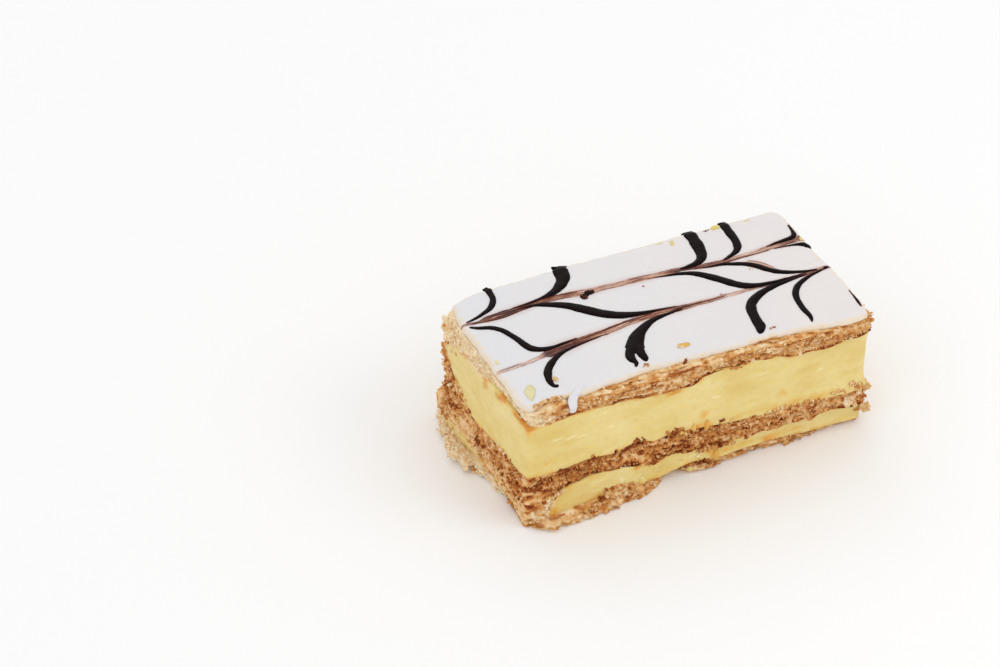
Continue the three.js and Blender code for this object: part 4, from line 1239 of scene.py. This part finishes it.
baked_finishes = {
    "pastry_top": baked("baked_pastry_top", 0.03, 0.35, 0.17),
    "pastry_middle": baked("baked_pastry_middle", 0.07, 0.4, 0.34),
    "pastry_bottom": baked("baked_pastry_bottom", 0.05, 0.35, 0.14),
}
for name, obj in pastry_pieces.items():
    coat(baked_finishes[name.rsplit("_", 1)[0]], obj)
coat(baked("baked_crumbs", 0.0, 0.3, 0.15), landed_crumbs)

# %% [markdown]
# ## Custard finish
# Set custard is pale yellow, a little translucent and moist. Light enters it and comes out
# softened, so it has subsurface scattering, and its yellow drifts between butter and lemon
# along the drag of the knife. Where brown crumb touched it, the piece's `toast` is high and it
# turns orange; next to the pastry this also holds painted shade under the pastry. Where `toast`
# is below 0 it turns paler: knife drags, and painted highlights.

# %% Custard finish
def set_custard():
    finish = Finish("set_custard")
    dragged = finish.spread(7.0, detail=3.0, stretch=(0.5, 0.5, 1.6), roughness=0.6)
    clouds = finish.uneven(16.0, 0.8, detail=1.0)
    mottle = finish.uneven(1.8, 0.35, detail=2.0, stretch=(0.8, 0.8, 1.2), shift=5.0)
    tone = (0.5 + (dragged - 0.5) * 0.8 + clouds + mottle).clamp()
    colour = finish.ramp(tone, {0.2: (224, 194, 110), 0.5: (232, 208, 133), 0.8: (238, 219, 154)})
    dots = finish.spread(2.6, detail=1.0, stretch=(0.7, 0.7, 1.4), shift=11.0).between(0.64, 0.78)
    colour = finish.mix(dots * 0.35, colour, paint(242, 216, 96))
    mark = finish.attribute("toast")
    colour = finish.mix((mark * -1.0).between(0.1, 0.9) * 0.75, colour, paint(250, 240, 196))
    stain = mark * 1.1 + finish.uneven(1.3, 0.7, detail=3.0)
    oranges = {0.1: (228, 182, 84), 0.5: (232, 168, 60), 1.0: (214, 134, 38)}
    orange = finish.ramp(stain.between(0.4, 1.6), oranges)
    colour = finish.mix(stain.between(0.05, 1.3) * 0.9, colour, orange)
    finish.set(Base_Color=colour, Roughness=0.38, IOR=1.4)
    finish.set(Subsurface_Weight=0.3, Subsurface_Scale=0.0016, Subsurface_Radius=(1.0, 0.7, 0.25))
    fine = finish.spread(0.9, detail=3.0, stretch=(0.6, 0.6, 1.4))
    finish.set(Normal=finish.bump(dragged * 0.8 + fine * 0.45, 0.4, 0.35))
    return finish.material


coat(set_custard(), *custards.values(), smears)

# %% [markdown]
# ## Icing finish
# The icing is white, slightly cool and satin. Its rim is so thin that the pastry shines
# through it in beige. Where a knife was drawn, chocolate was smeared into thin brown streaks.
# The streaks follow the knife's path: a curve gives its place across the slice for every
# place along it, and a pattern stretched along the path fills a narrow band each side.

# %% Icing finish
# The two knife strokes: for places x along the slice, the stroke's middle y, how wide the
# smear is there, how strong and how dark.
KNIFE_BACK = [(0, 42.0, 0.6, 0.5, 0.5), (5, 41.7, 1.0, 0.9, 0.5), (9, 42.0, 2.2, 1, 0.8),
              (16, 42.4, 2.4, 1, 0.9), (23, 42.9, 1.9, 1, 0.7), (29, 42.8, 1.9, 1, 0.35),
              (34, 42.3, 2.1, 1, 0.15), (40, 41.5, 2.0, 0.8, 0.05), (46, 41.2, 2.0, 0.75, 0.0),
              (53, 40.9, 2.1, 0.8, 0.0), (59, 40.4, 1.8, 0.95, 0.15), (66, 40.1, 1.6, 0.95, 0.6),
              (73, 38.9, 1.7, 0.9, 0.7), (80, 38.3, 1.6, 0.85, 0.3), (87, 38.4, 1.4, 0.6, 0.0),
              (95, 38.8, 1.8, 0.65, 0.15), (100, 39.0, 2.2, 0.8, 0.3), (105, 39.0, 2.2, 0.8, 0.3)]
KNIFE_FRONT = [(0, 19.0, 0.8, 0.15, 0), (4, 19.4, 1.2, 0.4, 0), (12, 20.0, 1.2, 0.45, 0.0),
               (15, 20.8, 1.6, 0.7, 0.5), (18, 21.5, 3.4, 1, 0.9), (23, 22.0, 3.2, 1, 0.75),
               (28, 22.6, 2.4, 1, 0.35), (35, 23.3, 2.2, 0.9, 0.15), (43, 24.3, 2.0, 0.9, 0.15),
               (50, 24.6, 2.0, 1, 0.3), (56, 24.2, 2.2, 0.95, 0.35), (63, 23.9, 1.4, 0.8, 0.15),
               (70, 23.7, 1.3, 0.7, 0.0), (77, 23.7, 1.1, 0.6, 0.0), (85, 23.5, 1.2, 0.8, 0.5),
               (96, 23.4, 1.4, 0.8, 0.5), (105, 23.8, 0.9, 0.8, 0.5)]
# Beside one stroke lies a soft brown band: smeared chocolate, and the stroke's painted shadow.
SHADOW_AND_SMEAR_BESIDE_STROKE = [(0, 36.0, 0.2, 0, 0), (84, 36.0, 0.3, 0, 0), (86, 35.0, 1.6, 0.6, 0),
           (88.5, 32.6, 2.0, 0.7, 0), (90.5, 30.2, 1.6, 0.6, 0), (92.5, 28.0, 0.3, 0, 0),
           (105, 28.0, 0.2, 0, 0)]
SMEAR_COLOURS = {0.30: (38, 10, 6), 0.42: (94, 34, 22), 0.53: (148, 90, 66),
                 0.64: (202, 156, 128), 0.76: (228, 200, 184)}


def feathered_icing():
    finish = Finish("sugar_icing")
    x, y = [finish.node("ShaderNodeSeparateXYZ", {}, {"Vector": finish.place()}, axis) for axis in "XY"]
    along = (x - CORNER[0] * MM) / (LENGTH * MM)
    over = (y - CORNER[1] * MM) / MM

    def profile(knife, column, full):
        """One column of a knife table as a curve along the slice."""
        points = [(row[0] / LENGTH, row[column] / full) for row in knife]
        return finish.node("ShaderNodeFloatCurve", {"curve": points}, {"Value": along}) * full

    def stroke(colour, knife, shift):
        """The icing's colour with one knife stroke smeared over it, and where it is."""
        ragged = finish.uneven(1.6, 0.9, detail=3.0, stretch=(0.5, 1, 1), shift=shift)
        off = over - profile(knife, 1, WIDTH) + ragged
        lines = finish.node("ShaderNodeCombineXYZ", {}, {0: along * 15.0 + shift, 1: off * 2.4, 2: 0.0})
        streaks = finish.noise(lines, 4.0, 0.62)
        away = off.math("ABSOLUTE") / (profile(knife, 2, 4.0) * 0.56 + 0.15)
        near = 1 - away.between(0.75, 1.15)
        strong = profile(knife, 3, 1.0)
        there = (near * (streaks + strong * 0.75)).between(0.45, 0.75) * (strong * 0.4 + 0.6)
        rim = away.between(0.45, 0.85) * 0.08
        dark = profile(knife, 4, 1.0) * 0.26 - 0.1
        halo = 1 - away.between(0.7, 2.4)
        colour = finish.mix(halo * strong * 0.34, colour, paint(190, 138, 118))
        shade = (streaks - 0.5) * 1.3 + 0.5 - dark - rim
        return finish.mix(there, colour, finish.ramp(shade, SMEAR_COLOURS)), there

    edge = finish.attribute("toast")
    thin = (edge + finish.uneven(1.8, 1.2, detail=3.0)).between(0.35, 1.2)
    sides = (along * 0.8 + finish.uneven(22.0, 0.7, detail=1.0)).clamp()
    white = finish.ramp(sides, {0.0: (226, 225, 227), 0.8: (233, 226, 224)})
    colour = finish.mix(thin * 0.85, white, paint(238, 216, 182))
    colour, back = stroke(colour, KNIFE_BACK, 0.0)
    colour, front = stroke(colour, KNIFE_FRONT, 21.0)
    # The brown band beside one stroke: smeared chocolate, and a painted shadow.
    colour, _ = stroke(colour, SHADOW_AND_SMEAR_BESIDE_STROKE, 43.0)
    finish.set(Base_Color=colour, Roughness=0.3, Specular_IOR_Level=0.15)
    finish.set(Coat_Weight=0.08, Coat_Roughness=0.15)
    finish.set(Subsurface_Weight=0.2, Subsurface_Scale=0.002, Subsurface_Radius=(1.0, 0.9, 0.8))
    dents = finish.spread(3.0, detail=2.0) * 0.4 - (back + front) * 0.5
    finish.set(Normal=finish.bump(dents, 0.25, 0.2))
    return finish.material


coat(feathered_icing(), icing, drip)

# %% [markdown]
# ## Chocolate finish
# Piped chocolate sets nearly black, and browner where the knife drew it thin, with a faint
# unevenness in its shine.

# %% Chocolate finish
def dark_chocolate():
    finish = Finish("dark_chocolate")
    thin = finish.attribute("toast") * 1.1 + finish.uneven(1.0, 0.8, detail=2.0)
    browns = {0.0: (17, 4, 4), 0.5: (48, 18, 13), 1.0: (100, 52, 36)}
    colour = finish.ramp(thin.between(0.1, 1.1), browns)
    finish.set(Base_Color=colour, Roughness=0.3, IOR=1.4, Specular_IOR_Level=0.08)
    finish.set(Normal=finish.bump(finish.spread(0.8, detail=2.0), 0.15, 0.1))
    return finish.material


coat(dark_chocolate(), chocolate)

# %% [markdown]
# ## Floor and light
# A pale floor and soft light from large panels, as on a studio table: bright from above and
# the front left, with enough fill for the shaded faces to keep their colour.

# %% Floor and light
floor_bm = bmesh.new()
bmesh.ops.create_grid(floor_bm, x_segments=1, y_segments=1, size=3.0)
floor_mesh = bpy.data.meshes.new("floor")
floor_bm.to_mesh(floor_mesh)
floor_bm.free()
floor = bpy.data.objects.new("floor", floor_mesh)
bpy.context.scene.collection.objects.link(floor)
floor_finish = Finish("pale_floor")
floor_finish.set(Base_Color=(0.98, 0.98, 0.98, 1.0), Roughness=0.9)
coat(floor_finish.material, floor)


def panel(name, place, aim, size, power):
    """A soft square panel of light."""
    data = bpy.data.lights.new(name, "AREA")
    data.shape, data.size, data.energy = "SQUARE", size, power
    obj = bpy.data.objects.new(name, data)
    away = (Vector(place) - Vector(aim)).normalized()
    obj.matrix_world = Matrix.Translation(place) @ away.to_track_quat("Z", "Y").to_matrix().to_4x4()
    bpy.context.scene.collection.objects.link(obj)
    print(f"{name} light: {power} W")


panel("key", (0.42, -0.34, 0.5), (0.03, 0, 0.02), 0.4, 0.6)
panel("fill", (-0.7, -0.5, 0.7), (0, 0, 0.02), 0.8, 0.9)
panel("rear", (0.1, 0.9, 0.9), (0, 0, 0.02), 0.8, 1.2)
world = bpy.data.worlds.new("studio")
world.use_nodes = True
world.node_tree.nodes["Background"].inputs["Color"].default_value = (1.0, 1.0, 1.0, 1.0)
world.node_tree.nodes["Background"].inputs["Strength"].default_value = 0.85
bpy.context.scene.world = world
bpy.context.scene.view_settings.view_transform = "Standard"
